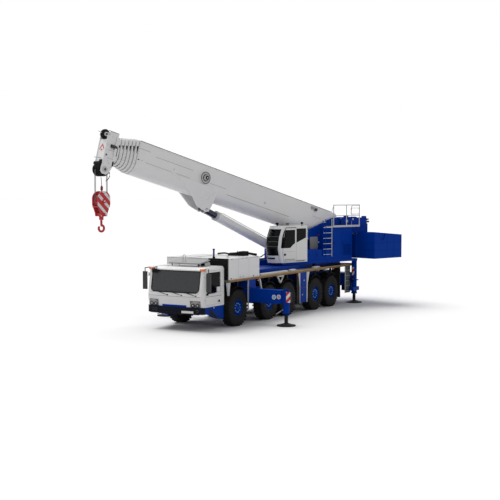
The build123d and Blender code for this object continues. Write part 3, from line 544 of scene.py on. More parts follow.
def repeated(name, piece, count, coat, step=None):
    """Runs a repeat tree on a piece, round Z or along a step, and returns the plain mesh."""
    unit = loose_object(name + "_unit", bpy.data.meshes.new(name + "_unit"))
    piece.mesh.to_mesh(unit.data)
    piece.mesh.free()
    tree = repeat_tree("Ring of pieces" if step is None else "Row of pieces", step is None)
    holder = loose_object(name + "_repeat", bpy.data.meshes.new(name + "_repeat"))
    modifier = holder.modifiers.new("Repeat", "NODES")
    modifier.node_group = tree
    values = {"Piece": unit, "Count": count, "Material": material(coat), "Step": step}
    for item in tree.interface.items_tree:
        if item.in_out == "INPUT" and item.name in values:
            modifier[item.identifier] = values[item.name]
    bpy.context.view_layer.update()
    mesh = bpy.data.meshes.new_from_object(holder.evaluated_get(bpy.context.evaluated_depsgraph_get()))
    bpy.data.objects.remove(holder)
    bpy.data.objects.remove(unit)
    return mesh


def coat_node(name, coat):
    """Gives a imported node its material."""
    data = shared["frame"]["nodes"][name].data
    data.materials.clear()
    data.materials.append(material(coat))


def tint(name, rows, frame=CARRIER):
    """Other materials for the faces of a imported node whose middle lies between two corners."""
    data = shared["frame"]["nodes"][name].data
    back = frame.inverted()
    for coat, low, high in rows:
        data.materials.append(material(coat))
        place = len(data.materials) - 1
        for face in data.polygons:
            middle = back @ face.center
            if all(a <= m <= b for a, m, b in zip(low, middle, high)):
                face.material_index = place


# Operators, in the order in which main calls them

class CRANE_OT_materials(bpy.types.Operator):
    """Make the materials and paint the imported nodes"""

    bl_idname = "crane.materials"
    bl_label = "Materials"

    def execute(self, context):
        look = context.scene.crane_paint
        white, blue, grey, red = look.white[:], look.blue[:], look.grey[:], look.red[:]
        black = (0.004, 0.004, 0.005, 1)
        far = 99
        paint("white", white, look.gloss, 0.05, 1.4)
        paint("boom_white", white, look.gloss, 0.10, 0.6, dirt=(0.42, 0.42, 0.43, 1))
        paint("blue", blue, look.gloss, 0.10, 1.5, shine=0.03, dirt=(0.001, 0.03, 0.22, 1))
        paint("grey", grey, 0.5, 0.2, 2.0)
        paint("light_grey", (0.55, 0.56, 0.57, 1), 0.45, 0.12, 2.0)
        paint("dark_grey", (0.05, 0.052, 0.056, 1), 0.55, 0.2, 3.0, shine=0.3)
        paint("black", black, 0.5, 0.15, 3.0, shine=0.1, dirt=(0.02, 0.02, 0.02, 1))
        paint("red", red, 0.4, 0.08, 4.0, dirt=(0.12, 0.01, 0.01, 1))
        paint("blue_dark", (0.0008, 0.014, 0.110, 1), 0.45, 0.15, 3.0,
              shine=0.03, dirt=(0.002, 0.005, 0.02, 1))
        paint("bumper_black", (0.0022, 0.004, 0.012, 1), 0.4, 0.1, 3.0,
              shine=0.1, dirt=(0.01, 0.01, 0.012, 1))
        paint("pipe_blue", (0.012, 0.018, 0.16, 1), 0.35, 0.1, 3.0)
        paint("lamp_bed", (0.26, 0.26, 0.265, 1), 0.35, 0.1, 3.0)
        paint("seam", (0.33, 0.33, 0.335, 1), 0.6, 0.1, 3.0)
        paint("sheave", (0.005, 0.005, 0.006, 1), 0.45, 0.2, 6.0, shine=0.15, dirt=(0.02, 0.02, 0.022, 1))
        paint("hose", (0.03, 0.022, 0.020, 1), 0.6, 0.2, 8.0)
        paint("red_dark", (0.16, 0.006, 0.010, 1), 0.45, 0.15, 5.0)
        paint("latch", (0.42, 0.50, 0.60, 1), 0.35, 0.1, 4.0)
        paint("step_grey", (0.085, 0.09, 0.085, 1), 0.55, 0.2, 3.0, shine=0.2)
        paint("panel_grey", (0.30, 0.30, 0.29, 1), 0.55, 0.2, 3.0)
        paint("deck_yellow", (0.42, 0.27, 0.06, 1), 0.55, 0.3, 3.0)
        paint("deck_brown", (0.22, 0.12, 0.045, 1), 0.6, 0.3, 3.0)
        paint("rubber", (0.012, 0.012, 0.013, 1), 0.75, 0.35, 6.0, 0.1,
              shine=0.15, dirt=(0.03, 0.028, 0.026, 1))
        paint("iron", (0.012, 0.012, 0.014, 1), 0.6, 0.3, 8.0, 0.1, shine=0.2, dirt=(0.03, 0.028, 0.026, 1))
        paint("steel", (0.45, 0.45, 0.46, 1), 0.32, 0.2, 10.0, metallic=0.9)
        # Luff rod: dark blue-grey colour that stands for the chrome's dark reflection, a painted reflection
        paint("rod_steel", (0.035, 0.037, 0.06, 1), 0.25, 0.1, 10.0, metallic=0.6)
        paint("rope", (0.10, 0.10, 0.105, 1), 0.5, 0.3, 60.0, metallic=0.6)
        paint("deck", (0.22, 0.225, 0.23, 1), 0.5, 0.25, 3.0,
              regions=[((-far, 1.492, -far), (far, far, far), look.deck_edge[:]),
                       ((-far, -far, -far), (far, -1.492, far), look.deck_edge[:])])
        paint("cab_paint", white, look.gloss, 0.05, 1.4,
              regions=[((9.0, -far, -far), (far, -1.36, far), black),
                       ((9.0, 1.36, -far), (far, far, far), black),
                       ((8.6, -far, 2.50), (9.7, far, far), (0.30, 0.31, 0.32, 1))])
        paint("hood_paint", white, look.gloss, 0.05, 1.4,
              regions=[((5.0, -1.3, 2.755), (7.0, 1.3, far), black)])
        paint("cooler_paint", black, 0.55, 0.1, 4.0, shine=0.2, dirt=(0.02, 0.02, 0.02, 1),
              regions=[((-far, -far, -far), (far, 0.56, far), white)])
        plain("glass", (0.060, 0.066, 0.070, 1), 0.06, alpha=0.80, shine=0.3)
        plain("crane_glass", (0.004, 0.005, 0.006, 1), 0.06, alpha=0.88, shine=0.1)
        plain("dark_glass", (0.002, 0.002, 0.003, 1), 0.1, shine=0.05)
        plain("lens", (0.75, 0.77, 0.8, 1), 0.12)
        plain("bezel", (0.08, 0.085, 0.09, 1), 0.3)
        plain("amber", (0.75, 0.18, 0.03, 1), 0.25)
        plain("mirror", (0.7, 0.72, 0.74, 1), 0.08, metallic=1.0)
        plain("plate_white", (0.75, 0.75, 0.74, 1), 0.4)
        plain("seat", (0.03, 0.03, 0.035, 1), 0.8)
        plain("warning_red", (0.55, 0.02, 0.02, 1), 0.4)
        # Pale teal of the wheel nuts: their own colour with a painted highlight of the hub's sheen
        plain("nut_colour_and_highlight", (0.16, 0.42, 0.48, 1), 0.35)
        striped("warning_stripes", (0.78, 0.78, 0.78, 1), (0.55, 0.012, 0.02, 1), (0.3, 0.7, -0.7), 0.21, 0.5,
                0.08)
        plain("disc_blue", (0.25, 0.42, 0.62, 1), 0.4)
        plain("disc_red", (0.55, 0.30, 0.32, 1), 0.4)
        striped("hook_stripes", red, (0.75, 0.73, 0.72, 1), (0.87, -0.26, -0.9), 0.34, 0.42, 0.1)
        for node in shared["frame"]["nodes"]:
            coat_node(node, self.finish_of(node))
        return {"FINISHED"}

    def finish_of(self, node):
        """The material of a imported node, by its name."""
        table = {
            "cab": "cab_paint", "cab_door_left": "white", "cab_door_right": "white", "cab_glass": "glass",
            "crane_cab": "white", "crane_cab_door": "white", "crane_cab_glass": "crane_glass",
            "engine_cover": "hood_paint", "engine": "iron", "cooler": "cooler_paint", "deck": "deck",
            "side_panels": "black", "bumper": "blue", "lamps": "bezel", "axles": "iron",
            "carrier_frame": "blue", "upper_frame": "blue", "side_housings": "blue", "counterweight": "blue",
            "winches": "blue", "ladder_and_rails": "light_grey", "luff_barrel": "boom_white",
            "luff_rod": "rod_steel", "rope_falls": "rope", "hook_block": "hook_stripes", "hook": "red",
        }
        if node in table:
            return table[node]
        for start, finish in (("boom", "boom_white"), ("outrigger", "blue"), ("jack", "iron"),
                              ("knuckle", "iron"), ("wheel", "rubber")):
            if node.startswith(start):
                return finish
        return "grey"


class CRANE_OT_wheels(bpy.types.Operator):
    """Build the ten wheels: tyre with lugs, rim, hub and nuts"""

    bl_idname = "crane.wheels"
    bl_label = "Wheels"

    def execute(self, context):
        size = context.scene.crane_wheels
        out, half, depth, rim = size.radius, size.width / 2, size.lug_depth, size.rim_radius
        base = out - depth
        lug = Piece()
        for side in (1, -1):
            turn = math.pi / size.lugs if side < 0 else 0
            spin = Matrix.Rotation(turn, 4, "Z")
            outline = [(-0.030, 0.012), (0.030, 0.012), (0.058, half - 0.012), (-0.008, half - 0.012)]
            points = [(y, side * z) for y, z in outline]
            lug.prism(points, base - 0.03, out, axis="X", turn=spin)
        lugs = repeated("lugs", lug, size.lugs, "rubber")
        tyre_profile = [(rim - 0.005, half - 0.05), (rim + 0.02, half - 0.012), (rim + 0.10, half + 0.002),
                        (rim + 0.20, half + 0.004), (rim + 0.30, half - 0.012), (base - 0.06, half - 0.022),
                        (base - 0.02, half - 0.035), (base, half - 0.07), (base + 0.004, 0),
                        (base, -half + 0.07), (base - 0.02, -half + 0.035), (base - 0.06, -half + 0.022),
                        (rim + 0.30, -half + 0.012), (rim + 0.20, -half - 0.004), (rim + 0.10, -half - 0.002),
                        (rim + 0.02, -half + 0.012), (rim - 0.005, -half + 0.05)]
        rim_profile = [(rim - 0.02, -half + 0.03), (rim, -half + 0.04), (rim, -half + 0.06), (rim - 0.03, 0),
                       (rim - 0.02, half - 0.07), (rim, half - 0.05), (rim + 0.002, half - 0.03),
                       (rim - 0.012, half - 0.024), (rim - 0.024, half - 0.04), (rim - 0.035, half - 0.10),
                       (0.245, half - 0.125), (0.215, half - 0.085), (0.150, half - 0.070)]
        # Nuts in a pale teal that holds a painted highlight
        nut = Piece().cylinder((0.182, 0, 0.120), (0.182, 0, 0.180), 0.024, 6)
        nuts = repeated("nuts", nut, size.nuts, "nut_colour_and_highlight")
        # Black discs for the rim's holes: painted shade of their insides, the rim is not cut through
        hole = Piece().cylinder((0.262, 0, 0.06), (0.262, 0, 0.118), 0.024, 14)
        holes = repeated("holes", hole, size.nuts, "black")
        hub_profile = [(0.150, half - 0.070), (0.150, half - 0.055),
                       (0.125, half - 0.050), (0.118, half - 0.022),
                       (0.095, half - 0.012), (0.055, half - 0.012), (0.050, half - 0.020), (0, half - 0.020)]
        back_profile = [(rim - 0.02, -half + 0.10), (0.20, -half + 0.16), (0.09, -half + 0.13),
                        (0.09, -half + 0.05)]
        for name in [node for node in shared["frame"]["nodes"] if node.startswith("wheel_")]:
            low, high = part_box(name)
            middle = (low + high) / 2
            outward = 1 if middle.y > 0 else -1
            turn = Matrix.Translation(middle) @ Matrix.Rotation(math.radians(-90 * outward), 4, "X")
            tyre = Piece().use("rubber")
            tyre.lathe(tyre_profile, 72, turn)
            tyre.add_mesh(lugs, turn)
            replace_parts(tyre.finish(name.replace("wheel", "tyre"), name), name)
            disc = Piece().use("blue")
            disc.lathe(rim_profile, 48, turn).lathe(back_profile, 32, turn)
            disc.lathe(hub_profile, 32, turn)
            disc.use("nut_colour_and_highlight").add_mesh(nuts, turn)
            disc.use("black").add_mesh(holes, turn)
            disc.finish(name.replace("wheel", "rim"), name)
        return {"FINISHED"}


class CRANE_OT_driver_cab(bpy.types.Operator):
    """Fit out the driver's cab: seals, wipers, lamps, plate, handles, mirrors, rack and seats"""

    bl_idname = "crane.driver_cab"
    bl_label = "Driver's cab"

    def execute(self, context):
        for hand, side in (("left", 1), ("right", -1)):
            door = f"cab_door_{hand}"
            for near in (1.297, 1.305):
                low, high = sorted((side * (near - 0.001), side * (near + 0.001)))
                tint(door, [("dark_glass", (8.63, low, 1.47), (9.61, high, 2.27))])
            trim = Piece().rows([
                ("white", "box", 8.60, 8.90, side * 1.296, side * 1.333, 1.47, 1.69),
                ("black", "box", 8.645, 8.905, side * 1.328, side * 1.336, 1.69, 1.705),
                ("black", "box", 8.895, 8.91, side * 1.328, side * 1.336, 1.48, 1.70),
                ("black", "cylinder", (8.735, side * 1.325, 1.125), (8.735, side * 1.345, 1.125), 0.05, 20),
                ("black", "box", 8.70, 8.84, side * 1.334, side * 1.352, 1.112, 1.138),
                ("black", "box", 9.03, 9.58, side * 1.331, side * 1.352, 1.455, 1.475),
                ("black", "box", 9.54, 9.67, side * 1.331, side * 1.372, 1.40, 1.475, 0.02),
                ("dark_grey", "box", 8.545, 9.675, side * 1.3275, side * 1.3325, 1.335, 1.347, 0.001),
            ])
            for z0, z1 in ((1.472, 1.484), (2.256, 2.268)):
                trim.use("black").box(8.635, 9.605, side * 1.326, side * 1.334, z0, z1, 0.002)
            for x in (8.634, 9.594):
                trim.box(x, x + 0.012, side * 1.326, side * 1.334, 1.48, 2.26, 0.002)
            trim.finish(f"door_trim_{hand}", door)

        tint("cab_glass", [("dark_glass", (8.3, -0.8, 1.6), (8.5, 0.8, 2.3))])
        tint("lamps", [("amber", (9.3, -1.4, 2.3), (9.9, 1.4, 2.5))])
        tint("bumper", [("bumper_black", (9.70, -2, 0.60), (10.2, 2, 0.885)),
                        ("bumper_black", (9.0, -2, 0.60), (10.2, 2, 0.672))])
        front = Piece()
        # Dark band round the windscreen and its round lower corners
        front.use("black")
        for z0, z1 in ((1.478, 1.520), (2.312, 2.338)):
            front.skin(DRIVER_CAB, [(z0, -1.14, 1.14), (z1, -1.14, 1.14)], -0.010, 0.013, 40)
        for side in (1, -1):
            front.skin(DRIVER_CAB, [(z, *sorted((side * 1.11, side * 1.14)))
                                    for z in (1.48, 1.7, 1.9, 2.1, 2.33)], -0.010, 0.013, 2)
        front.use("white")
        bend = 0.14
        for side in (1, -1):
            rows = []
            for k in range(7):
                lift = bend * k / 6
                inner = 1.135 - bend + math.sqrt(max(bend * bend - (bend - lift) ** 2, 0))
                rows.append((1.486 + lift, *sorted((side * inner, side * 1.142))))
            front.skin(DRIVER_CAB, rows, 0.002, 0.004, 3)
        # Wipers, one row each: pivot across and up, then the far end of the blade
        for pivot_y, pivot_z, far_y, far_z in ((-0.27, 1.39, -0.78, 1.50), (0.39, 1.393, -0.12, 1.50),
                                               (1.02, 1.385, 0.52, 1.50)):
            points = [(cab_face(DRIVER_CAB, pivot_y + (far_y - pivot_y) * k / 6,
                                pivot_z + (far_z - pivot_z) * k / 6) + 0.022,
                       pivot_y + (far_y - pivot_y) * k / 6, pivot_z + (far_z - pivot_z) * k / 6)
                      for k in range(7)]
            front.use("black").tube(points, 0.008, 6)
            front.tube([(x + 0.002, y - 0.06, z + 0.022) for x, y, z in points[1:]], 0.010, 6)
            x = cab_face(DRIVER_CAB, pivot_y, pivot_z)
            front.cylinder((x - 0.01, pivot_y, pivot_z), (x + 0.035, pivot_y, pivot_z), 0.022, 16)
        # Headlamps on their grey beds, with two round lamps, a pale dot at the centre of each as a painted
        # highlight, and a lighter upper part
        for side in (1, -1):
            rows = [(0.955, 0.76, 1.18), (1.05, 0.76, 1.185), (1.12, 0.79, 1.185), (1.185, 0.90, 1.16)]
            front.use("lamp_bed").skin(DRIVER_CAB, [(z, *sorted((side * a, side * b))) for z, a, b in rows],
                                       0.012, 0.006, 8)
            for y in (0.87, 1.075):
                x = cab_face(DRIVER_CAB, y, 1.02)
                lean = (x - cab_face(DRIVER_CAB, y + 0.02, 1.02)) / 0.02
                spot = Vector((1, side * lean * 0.5, 0)).normalized()
                place = Vector((x + 0.006, side * y, 1.02))
                front.use("black").cylinder(place, place + spot * 0.022, 0.082, 28)
                front.use("bezel").cylinder(place + spot * 0.018, place + spot * 0.026, 0.060, 24)
                # Pale dot at the lamp's centre: painted highlight
                front.use("lens").cylinder(place + spot * 0.022, place + spot * 0.030, 0.020, 20)
            x = cab_face(DRIVER_CAB, 1.10, 1.14)
            front.use("amber").box(x - 0.03, x + 0.018, side * 1.07, side * 1.14, 1.115, 1.16, 0.01)
            front.use("grey").skin(DRIVER_CAB, [(1.115, *sorted((side * 0.86, side * 1.04))),
                                                (1.165, *sorted((side * 0.90,
                                                                 side * 1.05)))], 0.016, 0.006, 4)
        # Seam and vent lines of the front, the blank plate and the bumper's fittings
        front.use("dark_grey")
        front.skin(DRIVER_CAB, [(1.337, -1.20, 1.20), (1.345, -1.20, 1.20)], 0.000, 0.002, 40)
        front.use("bumper_black").skin(BUMPER, [(0.655, -1.15, 1.15), (0.72, -1.17, 1.17)], 0.004, 0.02, 40)
        front.skin(BUMPER, [(0.80, -0.9, 0.30), (0.86, -0.9, 0.30)], 0.002, 0.006, 24)
        front.use("plate_white").skin(BUMPER, [(0.708, 0.38, 0.90), (0.795, 0.38, 0.90)], 0.02, 0.012, 6)
        front.use("bezel").skin(BUMPER, [(0.700, 0.37, 0.91), (0.803, 0.37, 0.91)], 0.014, 0.010, 6)
        for y in (-1.02, -0.86, 1.06):
            x = cab_face(BUMPER, y, 0.8)
            front.use("bezel").cylinder((x - 0.01, y, 0.80), (x + 0.016, y, 0.80), 0.055, 20)
            front.use("dark_glass").cylinder((x + 0.01, y, 0.80), (x + 0.020, y, 0.80), 0.043, 20)
        for y in (-0.30, 0.30):
            x = cab_face(BUMPER, y, 0.7)
            front.rows([
                ("iron", "box", x - 0.10, x + 0.03, y - 0.045, y - 0.025, 0.62, 0.72),
                ("iron", "box", x - 0.10, x + 0.03, y + 0.025, y + 0.045, 0.62, 0.72),
                ("steel", "cylinder", (x + 0.005, y - 0.055, 0.665),
                 (x + 0.005, y + 0.055, 0.665), 0.014, 12),
            ])
        # Roof: hoop on the rack, grille bars, cooler unit and small lamps
        front.rows([
            ("light_grey", "tube", [(9.2, -0.05, 2.62), (9.2, -0.05, 2.88), (9.2, -0.02, 2.92),
                                    (9.2, 0.04, 2.92), (9.2, 0.07, 2.88), (9.2, 0.07, 2.62)], 0.014),
            ("light_grey", "box", 8.62, 8.98, 0.46, 0.86, 2.465, 2.62, 0.03),
            ("black", "box", 8.975, 8.985, 0.50, 0.82, 2.49, 2.59),
            ("white", "box", 9.30, 9.52, -0.95, -0.60, 2.44, 2.50, 0.02),
            ("white", "box", 8.75, 9.20, -1.05, -0.62, 2.462, 2.50, 0.02),
        ])
        for y in (-0.35, -0.05, 0.25, 0.55):
            front.use("grey").cylinder((8.72, y, 2.706), (9.46, y, 2.648 - 0.043), 0.012, 8)
        # Mirrors: two glasses in each head and a small front mirror on the right
        for side in (1, -1):
            front.rows([
                ("mirror", "box", 9.709, 9.722, side * 1.415, side * 1.585, 1.80, 2.22, 0.004),
                ("mirror", "box", 9.709, 9.722, side * 1.415, side * 1.585, 1.56, 1.76, 0.004),
                ("black", "box", 9.700, 9.712, side * 1.408, side * 1.592, 1.77, 1.79, 0.002),
            ])
        front.rows([
            ("black", "tube", [(9.60, -0.98, 2.43), (9.78, -0.98, 2.44), (9.86, -0.98, 2.38)], 0.020),
            ("black", "box", 9.82, 9.88, -1.08, -0.84, 2.22, 2.38, 0.03),
        ])
        # Inside: floor panel, dashboard, wheel and two seats
        for y in (0.62, -0.62):
            front.rows([
                ("seat", "box", 8.60, 9.10, y - 0.26, y + 0.26, 1.22, 1.40, 0.05),
                ("seat", "box", 8.52, 8.66, y - 0.25, y + 0.25, 1.38, 1.98, 0.05),
                ("seat", "box", 8.54, 8.64, y - 0.13, y + 0.13, 2.00, 2.18, 0.04),
                ("dark_grey", "box", 8.68, 9.02, y - 0.18, y + 0.18, 1.02, 1.22, 0.02),
            ])
        front.rows([
            ("dark_grey", "box", 9.50, 9.74, -1.22, 1.22, 1.05, 1.44, 0.04),
            ("black", "tube", [(9.38 + 0.08 * math.sin(a), 0.62 + 0.21 * math.cos(a),
                                1.52 + 0.17 * math.sin(a))
                               for a in [2 * math.pi * k / 24 for k in range(25)]], 0.014),
            ("black", "cylinder", (9.38, 0.62, 1.52), (9.52, 0.62, 1.40), 0.025, 12),
            ("grey", "box", 8.75, 9.40, -0.16, 0.16, 1.01, 1.30, 0.04),
        ])
        # Mudguard fronts between the cab and the first wheels, and a dark line on the fairings
        for side in (1, -1):
            front.rows([
                ("light_grey", "prism", [(8.345, 1.80), (8.10, 1.80), (8.19, 1.28), (8.25, 1.28)],
                 *sorted((side * 1.41, side * 1.47))),
                ("bumper_black", "box", 8.50, 9.20, side * 1.309, side * 1.313, 0.50, 0.53, 0.001),
                ("lens", "box", 9.05, 9.13, side * 1.308, side * 1.325, 0.87, 0.90, 0.004),
            ])
        front.finish("driver_cab_fittings", "carrier")
        return {"FINISHED"}


class CRANE_OT_hood(bpy.types.Operator):
    """Fit out the hood and the cooler: slats, latches, seams, exhaust, caps and lids"""

    bl_idname = "crane.hood"
    bl_label = "Hood and cooler"

    def execute(self, context):
        tint("engine_cover", [("pipe_blue", (8.10, 0.67, 2.752), (8.21, 0.77, 3.2)),
                              ("black", (5.9, -0.2, 2.752), (6.45, 1.5, 3.0))])
        hood = Piece()
        # Slats and frame of the cooler's open left part, caps and the gear on the hood
        slat = Piece().box(8.294, 8.312, 0.60, 1.40, 1.925, 1.945, 0.003)
        hood.use("black").add_mesh(repeated("slats", slat, 15, "black", step=(0, 0, 0.05)))
        hood.rows([
            ("black", "box", 8.235, 8.315, 0.56, 1.47, 2.715, 2.752, 0.004),
            ("black", "box", 8.262, 8.318, 0.56, 0.60, 1.93, 2.72, 0.004),
            ("black", "box", 8.262, 8.318, 1.41, 1.455, 1.93, 2.72, 0.004),
            ("white", "box", 8.294, 8.306, -1.45, 0.55, 1.93, 2.71, 0.004),
            ("black", "cylinder", (8.16, 0.72, 3.085), (8.16, 0.72, 3.125), 0.05, 20),
            ("black", "cylinder", (8.16, 0.72, 2.752), (8.16, 0.72, 2.80), 0.055, 20),
            ("steel", "cylinder", (7.80, 1.15, 2.80), (7.80, 1.15, 2.825), 0.045, 20),
            ("dark_grey", "box", 6.02, 6.38, 0.80, 1.04, 2.915, 2.935, 0.004),
            ("black", "box", 5.88, 6.44, 0.30, 0.72, 2.748, 2.80, 0.02),
            ("black", "box", 5.92, 6.35, 0.36, 0.60, 2.80, 2.86, 0.02),
            ("steel", "cylinder", (5.965, 0.50, 2.80), (5.965, 0.50, 2.93), 0.03, 16),
            ("black", "tube", [(6.40, 0.50, 2.80), (6.30, 0.20, 2.83),
                               (6.05, -0.10, 2.83), (5.92, -0.5, 2.79)],
             0.035, 12),
        ])
        # Grille of the exhaust box
        for k in range(7):
            hood.use("black").box(6.03 + 0.05 * k, 6.05 + 0.05 * k, 0.80, 1.04, 2.93, 2.94, 0.002)
        # Seams, latches and hinges on both sides
        for side in (1, -1):
            y = side * 1.4905
            for x in (6.70, 7.52):
                hood.use("seam").box(x, x + 0.008, y, y + side * 0.001, 1.93, 2.72, 0)
            for z in (1.945, 2.70):
                hood.box(5.90, 8.22, y, y + side * 0.001, z, z + 0.006, 0)
            for x in (7.16, 7.40):
                hood.use("latch").box(x - 0.035, x + 0.035, y, y + side * 0.012, 1.95, 2.02, 0.004)
            for x in (6.345, 8.10):
                hood.use("black").box(x - 0.02, x + 0.02, y, y + side * 0.014, 1.925, 1.985, 0.004)
            for x in (6.05, 6.9, 7.2, 8.05):
                hood.use("grey").cylinder((x - 0.05, y, 2.725), (x + 0.05, y, 2.725), 0.012, 10)
        # Lids of the top
        hood.rows([
            ("white", "box", 6.60, 7.50, -0.95, -0.25, 2.75, 2.765, 0.01),
            ("white", "box", 7.60, 8.15, -0.95, -0.25, 2.75, 2.765, 0.01),
        ])
        hood.finish("hood_fittings", "carrier")
        return {"FINISHED"}


class CRANE_OT_chassis(bpy.types.Operator):
    """Fit out the chassis: deck edge, posts, flaps, tanks, shafts, rungs and rear lamps"""

    bl_idname = "crane.chassis"
    bl_label = "Chassis"

    def execute(self, context):
        posts, boxes = "light_grey", "blue"
        for side in (1, -1):
            rows = []
            for coat, x0, x1, z0 in ((posts, 1.539, 1.5995, 0.43), (boxes, 1.5996, 2.2205, 0.45),
                                     ("black", 2.2206, 2.541, 0.43), (boxes, 6.149, 6.6902, 1.47),
                                     (posts, 6.6903, 6.717, 0.59), ("step_grey", -2.99, -2.37, 0.51),
                                     ("step_grey", -3.39, -2.93, 0.51), ("rubber", -1.981, -1.899, 0.3)):
                low, high = sorted((side * 0.85, side * 1.54))
                rows.append((coat, (x0, low, z0), (x1, high, 1.80)))
            tint("side_panels", rows)
        # Painted shade: the carrier frame under the deck gets a darker blue, while its outrigger boxes keep
        # the plain blue
        tint("carrier_frame", [("blue_dark", (-3.5, -1.6, 0.2), (9.5, 1.6, 1.79)),
                               ("blue", (5.8, -1.51, 0.8), (6.75, 1.51, 1.60)),
                               ("blue", (-3.45, -1.51, 0.8), (-2.45, 1.51, 1.60))])
        base = Piece()
        # Strip along the deck's edge: ochre side with a yellow upper edge and brackets
        for side in (1, -1):
            edge = side * 1.5
            base.use("deck_yellow").box(-3.49, 8.21, edge - side * 0.05,
                                        edge + side * 0.004, 1.880, 1.913, 0.002)
            base.use("deck_brown").box(-3.49, 8.21, edge, edge + side * 0.004, 1.812, 1.880, 0)
            for k in range(24):
                x = -3.3 + 0.5 * k
                base.use("dark_grey").box(x, x + 0.05, edge, edge + side * 0.006, 1.822, 1.845, 0)
            base.rows([
                ("light_grey", "box", 3.30, 5.62, side * 1.30, side * 1.46, 1.912, 1.985, 0.01),
                ("light_grey", "box", 2.50, 2.96, side * 1.28, side * 1.46, 1.912, 1.99, 0.03),
                ("light_grey", "box", 0.18, 0.75, side * 1.30, side * 1.46, 1.912, 1.99, 0.03),
                ("light_grey", "box", 3.65, 4.24, side * 1.40, side * 1.46, 1.74, 1.808, 0.006),
                ("light_grey", "prism", [(4.23, 1.76), (4.15, 1.76), (3.90, 1.49), (3.96, 1.47)],
                 *sorted((side * 1.40, side * 1.45))),
                ("light_grey", "prism", [(3.65, 1.76), (3.73, 1.76), (3.96, 1.50), (3.90, 1.47)],
                 *sorted((side * 1.40, side * 1.45))),
                ("light_grey", "prism", [(5.84, 1.80), (5.73, 1.80), (5.60, 1.36), (5.66, 1.36)],
                 *sorted((side * 1.42, side * 1.48))),
                ("light_grey", "prism", [(2.40, 1.80), (2.222, 1.80),
                                         (2.222, 0.44), (2.26, 0.44), (2.27, 1.15)],
                 *sorted((side * 1.489, side * 1.497))),
                ("light_grey", "prism", [(1.26, 1.80), (1.54, 1.80), (1.54, 0.44), (1.48, 0.44), (1.44, 1.3)],
                 *sorted((side * 1.44, side * 1.47))),
                ("dark_grey", "box", 1.62, 2.20, side * 1.481, side * 1.486, 1.10, 1.115, 0),
                ("dark_grey", "box", 1.90, 1.912, side * 1.481, side * 1.486, 0.50, 1.78, 0),
                ("latch", "box", 1.80, 1.87, side * 1.481, side * 1.492, 1.42, 1.47, 0.004),
                ("latch", "box", 1.95, 2.02, side * 1.481, side * 1.492, 0.78, 0.83, 0.004),
                ("amber", "box", 2.35, 2.45, side * 1.49, side * 1.50, 1.70, 1.74, 0.004),
                ("amber", "box", 5.90, 6.00, side * 1.48, side * 1.492, 1.72, 1.76, 0.004),
                ("amber", "box", -1.20, -1.10, side * 1.485, side * 1.50, 1.755, 1.795, 0.004),
            ])
        # Crosswise boards of the platform and seams of the deck
        for x in (-2.4, -1.5, 1.9, 3.1, 4.4):
            base.use("blue_dark").box(x, x + 0.012, -0.99, 0.99, 2.0995, 2.101, 0)
        for side in (1, -1):
            for x in (-2.6, -1.3, 0.0, 1.3, 2.6, 3.9, 5.2):
                base.use("dark_grey").box(x, x + 0.008, side * 1.02, side * 1.30, 1.9095, 1.911, 0)
            # Rungs of the rear steps
            x0, x1 = (-2.96, -2.42) if side > 0 else (-3.36, -2.96)
            for k in range(5):
                z = 0.62 + 0.25 * k
                base.use("dark_grey").box(x0, x1, side * 1.511, side * 1.514, z, z + 0.09, 0)
                base.use("grey").box(x0, x1, side * 1.505, side * 1.516, z - 0.02, z, 0.003)
            base.use("light_grey").box(x1 - 0.02, x1 + 0.03, side * 1.500, side * 1.515, 0.54, 1.80, 0.003)
        # Tanks and boxes between the wheels on both sides
        for side in (1, -1):
            base.rows([
                ("dark_grey", "cylinder", (1.50, side * 0.72, 1.15), (2.45, side * 0.72, 1.15), 0.15, 24),
                ("dark_grey", "cylinder", (1.50, side * 0.72, 0.82), (2.45, side * 0.72, 0.82), 0.13, 24),
                ("iron", "box", -2.30, -2.06, side * 0.50, side * 1.00, 0.95, 1.50, 0.02),
            ])
        # Drive shafts and joints between the axles, and the gearbox under the hood
        ends = [7.52, 4.98, 3.33, 0.68, -0.98]
        for front, rear in zip(ends, ends[1:]):
            base.use("iron").cylinder((front - 0.30, 0, 0.745), (rear + 0.30, 0, 0.745), 0.05, 16)
            for x in (front - 0.30, rear + 0.30):
                base.cylinder((x - 0.06, 0, 0.745), (x + 0.06, 0, 0.745), 0.085, 20)
        for front in ends:
            base.rows([
                ("iron", "cylinder", (front + 0.19, 0, 0.745), (front + 0.25, 0, 0.745), 0.13, 20),
                ("iron", "cylinder", (front - 0.25, 0, 0.745), (front - 0.19, 0, 0.745), 0.13, 20),
                ("iron", "cylinder", (front + 0.13, -0.86, 0.80), (front + 0.13, 0.86, 0.80), 0.022, 12),
            ])
            for side in (1, -1):
                base.rows([
                    ("steel", "cylinder", (front, side * 0.62, 0.85), (front, side * 0.62, 1.12), 0.076, 20),
                    ("dark_grey", "cylinder", (front, side * 0.62, 1.10),
                     (front, side * 0.62, 1.46), 0.095, 20),
                    ("iron", "cylinder", (front - 0.02, side * 0.78, 0.86), (front - 0.24, side * 0.78, 0.86),
                     0.075, 20),
                ])
        base.rows([
            ("iron", "box", 5.15, 5.75, -0.30, 0.30, 0.62, 0.94, 0.04),
            ("iron", "box", 1.75, 2.25, -0.25, 0.25, 0.58, 0.94, 0.04),
        ])
